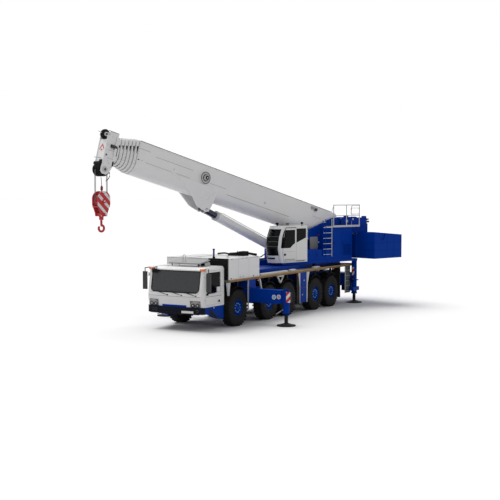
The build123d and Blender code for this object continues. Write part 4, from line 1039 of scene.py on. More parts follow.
        # Rear beam: lamps, blank plate and coupling
        x = -3.392
        for side in (1, -1):
            base.rows([
                ("bezel", "box", x - 0.03, x + 0.01, side * 0.95, side * 1.40, 1.10, 1.24, 0.01),
                ("warning_red", "box", x - 0.038, x, side * 1.22, side * 1.38, 1.12, 1.22, 0.006),
                ("amber", "box", x - 0.038, x, side * 1.11, side * 1.20, 1.12, 1.22, 0.006),
                ("lens", "box", x - 0.038, x, side * 0.97, side * 1.09, 1.12, 1.22, 0.006),
                ("rubber", "box", x - 0.01, x + 0.005, side * 0.85, side * 1.45, 0.55, 0.86, 0.002),
            ])
        base.rows([
            ("plate_white", "box", x - 0.014, x, -0.26, 0.26, 1.10, 1.21, 0.003),
            ("iron", "box", x - 0.02, x + 0.02, -0.22, 0.22, 0.98, 1.07, 0.01),
        ])
        base.finish("chassis_fittings", "carrier")
        return {"FINISHED"}


class CRANE_OT_outriggers(bpy.types.Operator):
    """Fit out beams and jacks: discs, striped plates, hoses, rod rings and pads"""

    bl_idname = "crane.outriggers"
    bl_label = "Outriggers"

    def execute(self, context):
        # One row each: name, place of the beam along the carrier, side, reach, top of the sleeve
        for name, x, side, reach, top in (("front_left", 6.48, 1, 3.10, 1.47),
                                          ("front_right", 6.06, -1, 3.10, 1.47),
                                          ("rear_left", -3.17, 1, 1.64,
                                           2.08), ("rear_right", -2.75, -1, 1.64, 2.08)):
            beam = Piece()
            front = x + 0.175
            y = side * reach
            beam.rows([
                ("blue_dark", "cylinder", (x, y, top), (x, y, top + 0.02), 0.10, 24),
                ("blue_dark", "cylinder", (x, y, 0.45), (x, y, 0.50), 0.142, 28),
            ])
            if reach > 2:
                # Round marks, one row each: distance in from the jack, height, radius, colour
                for inward, z, radius, coat in ((0.47, 1.155, 0.095, "disc_blue"),
                                                (0.25, 1.175, 0.090, "disc_red")):
                    spot = y - side * inward
                    for face in (1, -1):
                        wall = x + face * 0.1755
                        beam.rows([
                            ("plate_white", "cylinder", (wall, spot, z),
                             (wall + face * 0.002, spot, z), radius, 28),
                            (coat, "cylinder", (wall + face * 0.001, spot, z), (wall + face * 0.003, spot, z),
                             radius - 0.026, 28),
                        ])
                plate = sorted((y + side * 0.09, y + side * 0.27))
                beam.rows([
                    ("iron", "box", x - 0.02, front - 0.01, *plate, 0.98, 1.38, 0.004),
                    ("warning_stripes", "box", front - 0.012, front + 0.004, *plate, 0.965, 1.39, 0.002),
                    ("light_grey", "cylinder", (x, y - side * 0.46, 0.45),
                     (x, y - side * 0.13, 0.66), 0.022, 10),
                    ("black", "tube", [(x + 0.05, y - side * 0.12, 0.83), (x + 0.06, y - side * 0.20, 0.78),
                                       (x + 0.06, y - side * 0.22, 0.68),
                                       (x + 0.05, y - side * 0.16, 0.56), (x + 0.02, y - side * 0.12, 0.52)],
                     0.014),
                ])
            else:
                beam.rows([
                    ("warning_stripes", "box", x + 0.10, x + 0.136, y - 0.06, y + 0.06, 1.34, 1.74, 0.003),
                    ("blue_dark", "box", x - 0.30, x + 0.30, y - 0.10, y + 0.10, 1.08, 1.12, 0.004),
                    ("iron", "box", x + 0.12, x + 0.30, y - 0.05, y + 0.05, 1.12, 1.20, 0.01),
                ])
            beam.finish(f"beam_fittings_{name}", f"outrigger_beam_{name}")
            jack = Piece().rows([
                ("iron", "cylinder", (x, y, 0.100), (x, y, 0.116), 0.11, 28),
                ("black", "cylinder", (x, y, 0.012), (x, y, 0.03), 0.386, 48),
            ])
            for k in range(8):
                a = math.pi * k / 4 + 0.2
                jack.use("iron").cylinder((x + 0.33 * math.cos(a), y + 0.33 * math.sin(a), 0.040),
                                          (x + 0.33 * math.cos(a), y + 0.33 * math.sin(a), 0.056), 0.018, 6)
            jack.finish(f"jack_fittings_{name}", f"jack_{name}")
        return {"FINISHED"}


class CRANE_OT_boom(bpy.types.Operator):
    """Fit out the boom: seams, edge pipes, marks, drum face, gusset ribs, collar covers and cylinder"""

    bl_idname = "crane.boom"
    bl_label = "Boom and cylinder"

    def execute(self, context):
        base = Piece(BOOM)
        # Seams of the side plates, one row each: from, to, height
        seams = [(10.26, 11.61, 0.105), (9.18, 9.96, 0.115), (7.13, 8.09, 0.205), (11.44, 12.04, 0.590),
                 (9.09, 11.15, 0.475), (3.0, 7.0, -0.02)]
        for side in (1, -1):
            wall = side * 0.5
            for start, end, height in seams:
                base.use("seam").box(start, end, wall, wall + side * 0.003, height, height + 0.014, 0)
            base.use("light_grey").box(3.1, 7.05, wall, wall + side * 0.004, -0.036, -0.02, 0)
            base.use("black").tube([(0.35, side * 0.486, 0.905), (4.0, side * 0.486, 0.905),
                                    (8.0, side * 0.486, 0.905), (12.04, side * 0.486, 0.905)], 0.010, 6)
            for s in (0.6, 2.4, 4.2, 6.0, 7.8, 9.6, 11.4):
                base.use("grey").box(s, s + 0.05, side * 0.47, side * 0.50, 0.885, 0.915, 0.003)
            # Round marks and bolts of the side
            for s, n, r in ((11.975, 0.142, 0.028), (10.11, 0.252, 0.03),
                            (10.19, 0.08, 0.02), (4.70, 0.213, 0.045),
                            (4.72, 0.21, 0.02), (11.8, 0.14, 0.014)):
                coat = "dark_grey" if s > 11 else "light_grey"
                base.use(coat).cylinder((s, wall, n), (s, wall + side * 0.012, n), r, 20)
            base.rows([
                ("grey", "box", 1.31, 1.74, wall, wall + side * 0.05, 0.70, 0.83, 0.01),
                ("dark_grey", "box", 1.36, 1.52, wall + side * 0.03, wall + side * 0.07, 0.66, 0.78, 0.01),
                ("white", "box", 0.90, 1.52, wall, wall + side * 0.014, 0.40, 0.47, 0.004),
                ("light_grey", "box", -0.10, 0.20, wall, wall + side * 0.02, -0.24, 0.24, 0.02),
                ("steel", "cylinder", (0, wall, 0), (0, wall + side * 0.03, 0), 0.13, 28),
            ])
        # Front collar of the base section with its bolts
        for side in (1, -1):
            for k in range(8):
                n = 0.02 + 0.11 * k
                base.use("grey").cylinder((12.03, side * 0.499, n), (12.03, side * 0.512, n), 0.012, 6)
        # Drum on the left side: dark rim, hub and cap
        s, n, y = 8.45, 0.345, 0.61
        ring = [(s + 0.245 * math.cos(a), y + 0.004, n + 0.245 * math.sin(a))
                for a in [2 * math.pi * k / 40 for k in range(41)]]
        base.use("light_grey").cylinder((s, y - 0.002, n), (s, y + 0.004, n), 0.225, 40)
        base.use("dark_grey").tube(ring, 0.016, 8)
        base.rows([
            ("dark_grey", "cylinder", (s, y, n), (s, y + 0.02, n), 0.150, 32),
            ("grey", "cylinder", (s - 0.02, 0.66, n + 0.01), (s - 0.02, 0.695, n + 0.01), 0.118, 32),
            ("black", "cylinder", (s - 0.02, 0.69, n + 0.01), (s - 0.02, 0.699, n + 0.01), 0.085, 24),
            # White dot on the hub: painted highlight
            ("white", "cylinder", (s - 0.03, 0.698, n + 0.01), (s - 0.03, 0.706, n + 0.01), 0.030, 16),
        ])
        # Ribs and edge of the cylinder's carrying plates
        for side in (1, -1):
            for near, far in (((8.31, -0.50), (7.95, -0.02)), ((7.97, -0.52), (7.70, -0.05))):
                points = []
                for s, n in (near, far):
                    lean = 0.245 + (0.53 - 0.245) * (n + 0.94) / 1.0
                    points.append((s, side * (lean + 0.012), n))
                base.use("white").cylinder(points[0], points[1], 0.022, 10)
            base.use("steel").cylinder((7.79, side * 0.276, -0.85), (7.79, side * 0.292, -0.85), 0.075, 24)
            base.use("dark_grey").cylinder((7.79, side * 0.29, -0.85), (7.79, side * 0.298, -0.85), 0.03, 16)
        # Pipes and cable tray on the boom's upper side
        base.rows([
            ("light_grey", "box", 0.6, 11.9, -0.06, 0.06, 0.919, 0.934, 0.004),
            ("black", "tube", [(0.5, 0.22, 0.934), (6.0, 0.22, 0.934), (11.8, 0.22, 0.934)], 0.012, 6),
            ("black", "tube", [(0.5, -0.22, 0.934), (6.0, -0.22, 0.934), (11.8, -0.22, 0.934)], 0.012, 6),
        ])
        base.finish("boom_fittings", "boom")
        # Collars: dark covers near the top edge, screws and an upper stop
        for number in range(1, 7):
            end = 12.07 + 0.148 * number
            half = 0.5 - 0.036 * number + 0.030
            top = 0.92 - 0.036 * number + 0.030
            collar = Piece(BOOM)
            for side in (1, -1):
                wall = side * half
                low = sorted((wall, wall + side * 0.004))
                depth = 0.34 - 0.035 * number
                collar.use("black").prism([(end - 0.119, top - 0.27), (end - 0.110, top - 0.27 - 0.6 * depth),
                                           (end - 0.085, top - 0.27 - depth), (end - 0.045, top - 0.31),
                                           (end - 0.035, top - 0.27)], *low)
                for k in range(4):
                    n = -0.08 + 0.13 * k
                    collar.use("grey").cylinder((end - 0.05, wall, n),
                                                (end - 0.05, wall + side * 0.010, n), 0.010, 6)
            for y in (-0.2, 0.2):
                collar.use("grey").box(end - 0.10, end - 0.02, y - 0.05, y + 0.05, top, top + 0.02, 0.004)
            collar.use("seam").box(end - 0.1205, end - 0.1195, -half - 0.001,
                                   half + 0.001, -0.1, top - 0.09, 0)
            collar.finish(f"collar_fittings_{number}", f"boom_section_{number}")
        # Cylinder: gland, bands, pipe and end cap
        reach = 5.8176
        tube = Piece(LUFF)
        end = reach - 0.76
        tube.rows([
            ("light_grey", "cylinder", (end - 0.10, 0, 0), (end + 0.004, 0, 0), 0.219, 36),
            ("white", "cylinder", (0.30, 0, 0), (0.42, 0, 0), 0.216, 36),
            ("white", "cylinder", (2.60, 0, 0), (2.68, 0, 0), 0.214, 36),
            ("light_grey", "tube", [(0.35, 0.10, 0.20), (0.60, 0.12, 0.222), (2.5, 0.12, 0.222),
                                    (end - 0.35, 0.12, 0.222), (end - 0.15, 0.10, 0.19)], 0.016, 8),
            ("dark_grey", "box", 0.40, 0.62, -0.09, 0.09, 0.18, 0.29, 0.01),
        ])
        tube.finish("barrel_fittings", "luff_barrel")
        Piece(LUFF).rows([
            ("steel", "cylinder", (reach - 0.13, 0, 0), (reach - 0.05, 0, 0), 0.160, 32),
            ("iron", "cylinder", (reach - 0.20, 0, 0), (reach - 0.13, 0, 0), 0.152, 32),
        ]).finish("rod_fittings", "luff_rod")
        return {"FINISHED"}


class CRANE_OT_head(bpy.types.Operator):
    """Fit out the boom's head: sheaves, pins, chevrons, boxes, hose, and the hook block"""

    bl_idname = "crane.head"
    bl_label = "Head and hook"

    def execute(self, context):
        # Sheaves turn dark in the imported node, by their place between the cheeks
        tint("boom_section_6", [("sheave", (13.20, -0.212, 0.56), (13.70, 0.212, 0.98)),
                                ("sheave", (13.02, -0.212, -0.92), (13.59, 0.212, -0.43))], BOOM)
        tint("hook_block", [("red", (9.0, -0.1990, 4.0), (12.5, 0.1990, 5.6))], UPPER)
        head = Piece(BOOM)
        # Grooved rims, one row each: station, height, radius, place across
        rims = [(13.45, 0.77, 0.195, y) for y in (-0.03, 0.03)]
        rims += [(13.30, -0.64, 0.273, y) for y in (-0.18, -0.12, -0.06, 0, 0.06, 0.12, 0.18)]
        for s, n, radius, y in rims:
            turn = Matrix.Translation((s, y, n)) @ Matrix.Rotation(math.radians(-90), 4, "X")
            head.use("sheave").lathe([(radius - 0.03, -0.022), (radius, -0.020), (radius + 0.003, -0.014),
                                      (radius - 0.018, 0), (radius + 0.003, 0.014), (radius, 0.020),
                                      (radius - 0.03, 0.022)], 40, turn)
        for side in (1, -1):
            wall = side * 0.265
            outer = sorted((wall, wall + side * 0.006))
            head.rows([
                ("black", "box", 12.96, 13.26, wall, wall + side * 0.06, 0.275, 0.393, 0.01),
                ("dark_grey", "box", 12.99, 13.23, wall + side * 0.055, wall + side * 0.066, 0.30,
                 0.37, 0.004),
                ("black", "box", 12.96, 13.47, wall - side * 0.02, wall + side * 0.008, 0.896, 0.912, 0),
                # Black strip just behind the cheek: painted shadow of the gap between the head and the
                # section
                ("black", "box", 12.925, 12.957, side * 0.30, side * 0.318, -0.02, 0.36, 0),
                ("seam", "box", 13.05, 13.35, *outer, 0.150, 0.162, 0),
                ("seam", "box", 13.02, 13.30, *outer, -0.168, -0.156, 0),
                ("dark_grey", "box", 13.02, 13.24, *outer, 0.225, 0.245, 0),
                ("light_grey", "cylinder", (13.30, wall, -0.64),
                 (13.30, wall + side * 0.03, -0.64), 0.115, 28),
                ("dark_grey", "cylinder", (13.30, wall + side * 0.03, -0.64),
                 (13.30, wall + side * 0.04, -0.64),
                 0.05, 20),
                ("light_grey", "cylinder", (13.45, wall, 0.77), (13.45, wall + side * 0.02, 0.77), 0.06, 20),
                ("light_grey", "cylinder", (13.38, wall, -0.06),
                 (13.38, wall + side * 0.012, -0.06), 0.05, 20),
                ("black", "cylinder", (13.38, wall + side * 0.011, -0.06),
                 (13.38, wall + side * 0.013, -0.06),
                 0.032, 20),
                ("steel", "cylinder", (13.20, wall, -0.36), (13.20, wall + side * 0.03, -0.36), 0.02, 10),
                ("black", "box", 12.965, 13.02, wall - side * 0.02, wall + side * 0.02, -0.44, -0.24, 0.004),
            ])
            for s, n in ((13.05, 0.70), (13.25, 0.70), (13.05, 0.50), (13.25, -0.28),
                         (13.08, -0.50), (13.40, 0.35)):
                head.use("grey").cylinder((s, wall, n), (s, wall + side * 0.012, n), 0.014, 6)
        # Front face: two chevrons on a white field, guard pins and rope guides
        for side in (1, -1):
            outline = [(0.0, 0.30), (side * 0.16, 0.12), (side * 0.16, 0.19), (0.0, 0.385)]
            head.use("warning_red").prism(outline, 13.461, 13.465, axis="X")
        head.prism([(-0.07, 0.10), (0.07, 0.10), (0.0, 0.18)], 13.461, 13.465, axis="X")
        head.rows([
            ("white", "box", 13.459, 13.4615, -0.20, 0.20, 0.05, 0.45, 0),
            ("light_grey", "cylinder", (13.60, 0.02, 0.77), (13.80, 0.02, 0.80), 0.014, 8),
            ("light_grey", "cylinder", (13.46, 0.05, -0.20), (13.76, 0.05, -0.26), 0.014, 8),
            ("black", "box", 13.44, 13.56, -0.24, 0.24, -0.47, -0.37, 0.01),
            ("black", "box", 13.46, 13.52, 0.06, 0.20, -0.37, -0.28, 0.01),
            ("white", "cylinder", (13.45, 0.066, 0.77), (13.45, 0.090, 0.77), 0.085, 24),
            ("white", "cylinder", (13.45, -0.066, 0.77), (13.45, -0.090, 0.77), 0.085, 24),
            ("iron", "cylinder", (13.52, -0.25, -0.46), (13.52, 0.25, -0.46), 0.025, 12),
            ("iron", "cylinder", (13.05, -0.25, -0.72), (13.05, 0.25, -0.72), 0.025, 12),
            ("iron", "cylinder", (13.38, -0.25, 0.55), (13.38, 0.25, 0.55), 0.020, 12),
            ("hose", "tube", [(13.02, 0.12, -0.62), (12.94, 0.12, -0.70),
                              (12.91, 0.12, -0.82), (12.95, 0.12, -0.94),
                              (13.04, 0.12, -1.05)], 0.016, 8),
        ])
        head.finish("head_fittings", "boom_section_6")
        # Hook block: axle caps, ears, bolts, rope socket; hook: safety catch and swivel ring
        pivot = UPPER.inverted() @ (BOOM @ Vector((13.30, 0, -0.64)))
        x = pivot.x
        block = Piece(UPPER)
        for side in (1, -1):
            wall = side * 0.20
            block.rows([
                ("red", "cylinder", (x, wall, 5.02), (x, wall + side * 0.035, 5.02), 0.085, 28),
                ("steel", "cylinder", (x, wall + side * 0.03, 5.02),
                 (x, wall + side * 0.045, 5.02), 0.035, 16),
                ("red", "box", x - 0.05, x + 0.05, wall, wall + side * 0.02, 4.44, 4.56, 0.006),
            ])
            for dx, z in ((-0.20, 5.22), (0.20, 5.22), (-0.10, 4.62), (0.10, 4.62), (0, 5.33)):
                block.use("iron").cylinder((x + dx, wall, z), (x + dx, wall + side * 0.012, z), 0.016, 6)
        for y in (-0.12, -0.04, 0.04, 0.12):
            turn = Matrix.Translation((x, y, 5.02)) @ Matrix.Rotation(math.radians(-90), 4, "X")
            block.use("red_dark").lathe([(0.24, -0.034), (0.272, -0.030), (0.274, -0.022), (0.252, 0),
                                         (0.274, 0.022), (0.272, 0.030), (0.24, 0.034)], 40, turn)
        for dx in (-0.27, 0.27):
            block.use("red").cylinder((x + dx, -0.2, 4.80), (x + dx, 0.2, 4.80), 0.02, 10)
        block.rows([
            ("red", "cylinder", (x - 0.03, 0.0, 5.38), (x - 0.03, 0.0, 5.46), 0.03, 12),
            ("dark_grey", "box", x - 0.075, x + 0.015, -0.035, 0.035, 5.45, 5.56, 0.012),
            ("red_dark", "cylinder", (x - 0.03, 0.0, 5.55), (x - 0.03, 0.0, 5.64), 0.06, 16, 0.025),
        ])
        block.finish("block_fittings", "hook_block")
        end = Piece(UPPER).use("hose").tube([(x - 0.03, 0.0, 5.62), (x - 0.02, 0.0, 5.80), (x, 0.0, 5.975)],
                                            0.012, 6)
        end.finish("rope_end", "rope_falls")
        hook = Piece(UPPER)
        hook.rows([
            ("red", "cylinder", (x, 0, 4.405), (x, 0, 4.419), 0.105, 28),
            ("steel", "box", x - 0.012, x + 0.012, -0.10, 0.04, 4.005, 4.02, 0.003),
        ])
        hook.finish("hook_fittings", "hook")
        return {"FINISHED"}


class CRANE_OT_crane_cab(bpy.types.Operator):
    """Fit out the operator's cab: seals, bars, handle, lamps, seat and levers"""

    bl_idname = "crane.crane_cab"
    bl_label = "Operator's cab"

    def execute(self, context):
        for near in (1.4603, 1.4683):
            tint("crane_cab_door", [("crane_glass", (1.38, near - 0.0004, 2.8), (2.2, near + 0.0004, 3.75))],
                 UPPER)
        y = 1.4803
        door = Piece(UPPER).rows([
            ("black", "cylinder", (2.10, y, 2.60), (2.10, y + 0.02, 2.60), 0.052, 24),
            ("dark_grey", "box", 2.02, 2.12, y + 0.018, y + 0.032, 2.588, 2.612, 0.004),
            ("seam", "box", 1.44, 2.14, y, y + 0.002, 2.72, 2.728, 0),
            ("grey", "box", 1.46, 2.10, y, y + 0.003, 2.36, 2.40, 0),
            ("dark_glass", "prism", [(2.10, 2.895), (2.193, 2.895),
                                     (2.196, 2.96), (2.165, 3.34), (2.05, 3.70),
                                     (1.96, 3.70), (2.10, 3.34)], y, y + 0.004),
            ("dark_glass", "box", 2.15, 2.206, y - 0.028, y + 0.003, 2.90, 3.36, 0),
        ])
        door.finish("crane_door_fittings", "crane_cab_door")
        cab = Piece(UPPER)
        y = CRANE_CAB_Y
        # Dark band round the front glass, bars across its upper part, and the wiper
        left, right = -0.385, 0.385
        for z0, z1 in ((2.565, 2.61), (3.70, 3.735)):
            cab.use("black").skin(CRANE_CAB, [(z0, left, right), (z1, left, right)], -0.010, 0.014, 16, y)
        for a, b in ((left, left + 0.035), (right - 0.035, right)):
            cab.skin(CRANE_CAB, [(z, a, b) for z in (2.60, 2.88, 3.1, 3.35, 3.55, 3.71)], -0.010, 0.014, 2, y)
        for z in (3.40, 3.18, 2.96):
            cab.use("bezel").skin(CRANE_CAB, [(z, left, right), (z + 0.018, left, right)], -0.004, 0.010, 16,
                                  y)
        points = [(cab_face(CRANE_CAB, 0.10 - 0.3 * k / 6, 2.66 + 0.7 * k / 6) + 0.02, y + 0.10 - 0.3 * k / 6,
                   2.66 + 0.7 * k / 6) for k in range(7)]
        cab.use("black").tube(points, 0.010, 6)
        cab.skin(CRANE_CAB, [(2.40, -0.20, 0.24), (2.47, -0.22, 0.26)], 0.002, 0.006, 8, y)
        cab.skin(CRANE_CAB, [(2.50, -0.35, -0.10), (2.54, -0.36, -0.08)], 0.002, 0.006, 8, y)
        # Forward part of the side pane, on the cab's front post
        cab.use("dark_glass").prism([(2.20, 2.895), (2.305, 2.895), (2.31, 2.93), (2.24, 3.35), (2.12, 3.66),
                                     (2.06, 3.70), (2.17, 3.35)], 1.449, 1.454)
        # Frame lines of the side, vent and skirt
        for side in (1, -1):
            wall = y + side * 0.465
            cab.use("seam").box(0.66, 1.34, wall, wall + side * 0.003, 2.26, 2.266, 0)
            cab.use("grey").box(0.80, 1.32, wall, wall + side * 0.005, 2.272, 2.326, 0)
            for k in range(8):
                cab.use("dark_grey").box(0.83 + 0.06 * k, 0.86 + 0.06 * k, wall + side * 0.004,
                                         wall + side * 0.007, 2.280, 2.318, 0)
        cab.rows([
            ("seam", "box", 1.335, 1.365, 1.4480, 1.4502, 2.33, 3.78, 0),
            ("black", "box", 1.36, 2.02, 1.448, 1.475, 3.785, 3.805, 0.003),
            ("light_grey", "box", 0.70, 2.15, 1.448, 1.495, 2.305, 2.325, 0.004),
            ("white", "tube", [(0.63, 1.40, 3.24), (0.54, 1.40, 3.26),
                               (0.54, 1.40, 3.64), (0.63, 1.40, 3.66)], 0.016),
            ("black", "cylinder", (2.10, 1.0, 3.86), (2.10, 1.0, 3.97), 0.030, 16),
            ("black", "box", 2.05, 2.17, 0.94, 1.06, 3.93, 4.02, 0.02),
            ("black", "box", 1.39, 1.51, 0.94, 1.06, 3.87, 3.98, 0.02),
            ("black", "cylinder", (0.72, 1.20, 3.87), (0.72, 1.20, 3.95), 0.03, 16),
            ("black", "cylinder", (0.72, 1.20, 3.94), (0.72, 1.20, 4.03), 0.055, 20),
            ("white", "box", 1.00, 1.85, 0.70, 1.25, 3.868, 3.885, 0.008),
            ("crane_glass", "box", 1.06, 1.79, 0.76, 1.19, 3.884, 3.889, 0.002),
            ("light_grey", "tube", [(0.75, 1.36, 3.87), (0.75, 1.36, 3.92),
                                    (1.95, 1.36, 3.92), (1.95, 1.36, 3.87)],
             0.010),
            ("seat", "box", 1.15, 1.65, 0.75, 1.22, 2.62, 2.78, 0.05),
            ("seat", "box", 1.05, 1.20, 0.77, 1.20, 2.74, 3.34, 0.05),
            ("seat", "box", 1.06, 1.17, 0.87, 1.10, 3.36, 3.54, 0.04),
            ("dark_grey", "box", 1.22, 1.58, 0.84, 1.13, 2.29, 2.62, 0.03),
            ("dark_grey", "box", 1.20, 1.75, 0.62, 0.73, 2.74, 2.86, 0.03),
            ("dark_grey", "box", 1.20, 1.75, 1.24, 1.33, 2.74, 2.86, 0.03),
            ("black", "cylinder", (1.68, 0.675, 2.86), (1.70, 0.675, 3.00), 0.016, 12),
            ("black", "cylinder", (1.68, 1.285, 2.86), (1.70, 1.285, 3.00), 0.016, 12),
            ("dark_grey", "box", 2.00, 2.20, 0.78, 1.20, 2.29, 2.80, 0.04),
            ("bezel", "box", 2.02, 2.06, 0.66, 0.86, 2.86, 3.08, 0.01),
        ])
        cab.finish("crane_cab_fittings", "upper")
        return {"FINISHED"}


class CRANE_OT_upper(bpy.types.Operator):
    """Fit out the upper machine: doors, grille panel, walkway, gate, ropes, bolts and hoses"""

    bl_idname = "crane.upper"
    bl_label = "Upper machine"

    def execute(self, context):
        deck = Piece(UPPER)
        for side in (1, -1):
            wall, out = side * 1.4, side * 0.004
            # Door seams of the housings, one row each: from, to, low, high
            for x0, x1, z0, z1 in ((-2.50, -2.494, 2.26, 3.72),
                                   (-1.80, -1.794, 2.26, 3.72), (-2.50, -1.16, 2.262, 2.268),
                                   (-1.165, -1.159, 2.26, 3.72), (-2.50, -1.16, 3.705, 3.711),
                                   (-0.60, -0.594, 2.26, 2.70), (0.0, 0.006, 2.26,
                                                                 2.70), (-1.1, 0.58, 2.262, 2.268)):
                deck.use("blue_dark").box(x0, x1, wall, wall + out, z0, z1, 0)
            for x, z in ((-1.86, 3.0), (-1.24, 3.0), (-0.10, 2.5), (0.5, 2.5)):
                deck.use("black").box(x - 0.02, x + 0.02, wall,
                                      wall + side * 0.014, z - 0.06, z + 0.06, 0.004)
            for k in range(12):
                deck.use("blue_dark").box(-2.42, -1.88, wall, wall + side * 0.006, 2.42 + 0.045 * k,
                                          2.435 + 0.045 * k, 0)
            wall = side * 0.62
            deck.rows([
                ("panel_grey", "box", -0.93, -0.40, wall, wall + side * 0.03, 2.725, 3.30, 0.01),
                ("black", "box", -0.385, -0.28, wall, wall + side * 0.035, 2.86, 3.16, 0.01),
                ("red_dark", "box", -1.06, -0.98, wall, wall + side * 0.03, 3.33, 3.42, 0.01),
                ("light_grey", "cylinder", (-0.955, wall, 3.04),
                 (-0.955, wall + side * 0.05, 3.04), 0.045, 16),
                ("steel", "cylinder", (-2.10, wall, 3.50), (-2.10, wall + side * 0.04, 3.50), 0.12, 32),
                ("blue_dark", "cylinder", (-2.10, wall + side * 0.04, 3.50),
                 (-2.10, wall + side * 0.05, 3.50),
                 0.075, 24),
                ("blue_dark", "box", 0.20, 0.214, wall, wall + out, 2.75, 3.20, 0),
                ("black", "box", 0.30, 0.46, wall, wall + side * 0.05, 2.90, 3.12, 0.02),
            ])
            for k in range(9):
                x = -1.9 + 0.26 * k
                z = 4.14 - max(0, x + 2.0) * 0.323
                deck.use("blue_dark").cylinder((x, wall, z - 0.08),
                                               (x, wall + side * 0.012, z - 0.08), 0.02, 6)
            # Nose: pin cap, edge and hose
            wall = side * 0.37
            deck.rows([
                ("steel", "cylinder", (0.30, wall, 2.38), (0.30, wall + side * 0.02, 2.38), 0.10, 28),
                ("blue_dark", "box", 1.2, 2.5, wall, wall + out, 2.245, 2.255, 0),
                ("hose", "tube", [(1.1, side * 0.34, 2.72), (1.4, side * 0.36, 2.62),
                                  (1.8, side * 0.35, 2.42),
                                  (2.1, side * 0.34, 2.37), (2.55, side * 0.33, 2.36)], 0.02, 8),
                ("hose", "tube", [(0.9, side * 0.33, 2.74), (1.3, side * 0.33, 2.70),
                                  (1.7, side * 0.33, 2.50),
                                  (2.0, side * 0.31, 2.38)], 0.016, 8),
            ])
        # Ladder: its inner stile in blue, rungs drawn out to a thin stile beside it
        tint("ladder_and_rails", [("blue", (-0.70, 0.5, 2.3), (-0.58, 1.6, 4.4))], UPPER)
        for k in range(7):
            deck.use("light_grey").cylinder((-0.66, 1.425, 2.5 + 0.25 * k),
                                            (-0.46, 1.425, 2.5 + 0.25 * k), 0.014, 8)
        deck.use("blue").cylinder((-0.46, 1.425, 2.42), (-0.46, 1.425, 4.08), 0.018, 8)
        # Walkway grating, toe board, gate, slanted rail and handles
        bar = Piece().box(-3.01, -1.15, 0.91, 0.918, 3.80, 3.806, 0)
        deck.use("dark_grey").add_mesh(repeated("bars", bar, 20, "dark_grey", step=(0, 0.026, 0)))
        r = 1.425
        deck.rows([
            ("light_grey", "box", -3.02, -1.14, 1.445, 1.455, 3.80, 3.84, 0.002),
            ("light_grey", "tube", [(-2.42, r, 4.64), (-2.95, r, 4.64), (-2.985, r, 4.60), (-2.985, r, 4.40),
                                    (-2.95, r, 4.36), (-2.42, r, 4.36), (-2.385, r, 4.40), (-2.385, r, 4.60),
                                    (-2.42, r, 4.64)], 0.012),
            ("light_grey", "tube", [(-1.18, r, 4.76), (-1.00, r, 4.42), (-0.86, r, 4.20), (-0.84, r, 4.15)],
             0.014),
            ("light_grey", "tube", [(-3.00, r, 4.77), (-3.00, 1.0, 4.77),
                                    (-3.00, 0.93, 4.70), (-3.00, 0.93, 3.80)],
             0.016),
            ("light_grey", "tube", [(-3.00, r, 4.30), (-3.00, 0.93, 4.30)], 0.014),
        ])
        for side in (1, -1):
            deck.rows([
                ("light_grey", "tube", [(0.55, side * 1.38, 2.74), (0.55, side * 1.38, 2.78)], 0.01),
                ("steel", "box", -4.62, -4.50, side * 0.58, side * 0.66, 4.02, 4.10, 0.01),
                ("black", "cylinder", (-4.62, side * 0.60, 4.06), (-4.50, side * 0.60, 4.06), 0.05, 16),
                ("black", "cylinder", (-4.66, side * 0.60, 3.94), (-4.52, side * 0.60, 3.94), 0.04, 16),
                ("blue", "prism", [(-4.35, 3.80), (-2.50, 3.80), (-2.50, 4.12), (-2.62, 4.20), (-3.55, 4.21),
                                   (-3.70, 4.16), (-4.20, 4.16), (-4.35, 4.08)],
                 *sorted((side * 0.675, side * 0.700))),
                # Two pale patches on the winch cover: painted highlights
                ("light_grey", "box", -2.98, -2.84, side * 0.70, side * 0.72, 3.94, 4.06, 0.02),
                ("light_grey", "box", -3.40, -3.30, side * 0.70, side * 0.72, 4.04, 4.14, 0.02),
            ])
        # Hoist ropes on the drums, as a row of rings, and the drums' end discs
        for x, z in ((-3.34, 3.93), (-3.99, 3.91)):
            ring = Piece()
            turn = Matrix.Translation((x, -0.47, z)) @ Matrix.Rotation(math.radians(-90), 4, "X")
            ring.lathe([(0.185, -0.012), (0.203, -0.009), (0.208, 0), (0.203, 0.009), (0.185, 0.012)], 36,
                       turn)
            deck.use("rope").add_mesh(repeated("coils", ring, 36, "rope", step=(0, 0.026, 0)))
            for side in (1, -1):
                deck.use("blue").cylinder((x, side * 0.60, z), (x, side * 0.655, z), 0.17, 28)
                deck.use("steel").cylinder((x, side * 0.65, z), (x, side * 0.67, z), 0.05, 16)
        # Counterweight: slab joints and warning stripes at the rear corners
        for side in (1, -1):
            wall = side * 2.42
            for z in (2.62, 2.98):
                deck.use("blue_dark").box(-4.98, -2.96, wall, wall + side * 0.003, z, z + 0.010, 0)
                deck.use("blue_dark").box(-2.961, -2.957, side * 1.42, wall, z, z + 0.010, 0)
            for x in (-3.9, -4.4):
                deck.use("blue_dark").box(x, x + 0.010, wall, wall + side * 0.003, 2.26, 3.36, 0)
            deck.use("warning_stripes").box(-4.984, -4.978, side * 2.10, side * 2.38, 2.30, 3.10, 0)
            deck.use("warning_red").box(-4.986, -4.978, side * 1.70, side * 1.95, 2.50, 2.60, 0)
        for z in (2.60, 2.95):
            deck.use("blue_dark").box(-4.983, -4.979, -2.42, 2.42, z, z + 0.010, 0)
        # Bolts of the slewing ring
        bolt = Piece().cylinder((0.90, 0, 2.231), (0.90, 0, 2.262), 0.018, 6)
        deck.use("iron").add_mesh(repeated("ring_bolts", bolt, 48, "iron"))
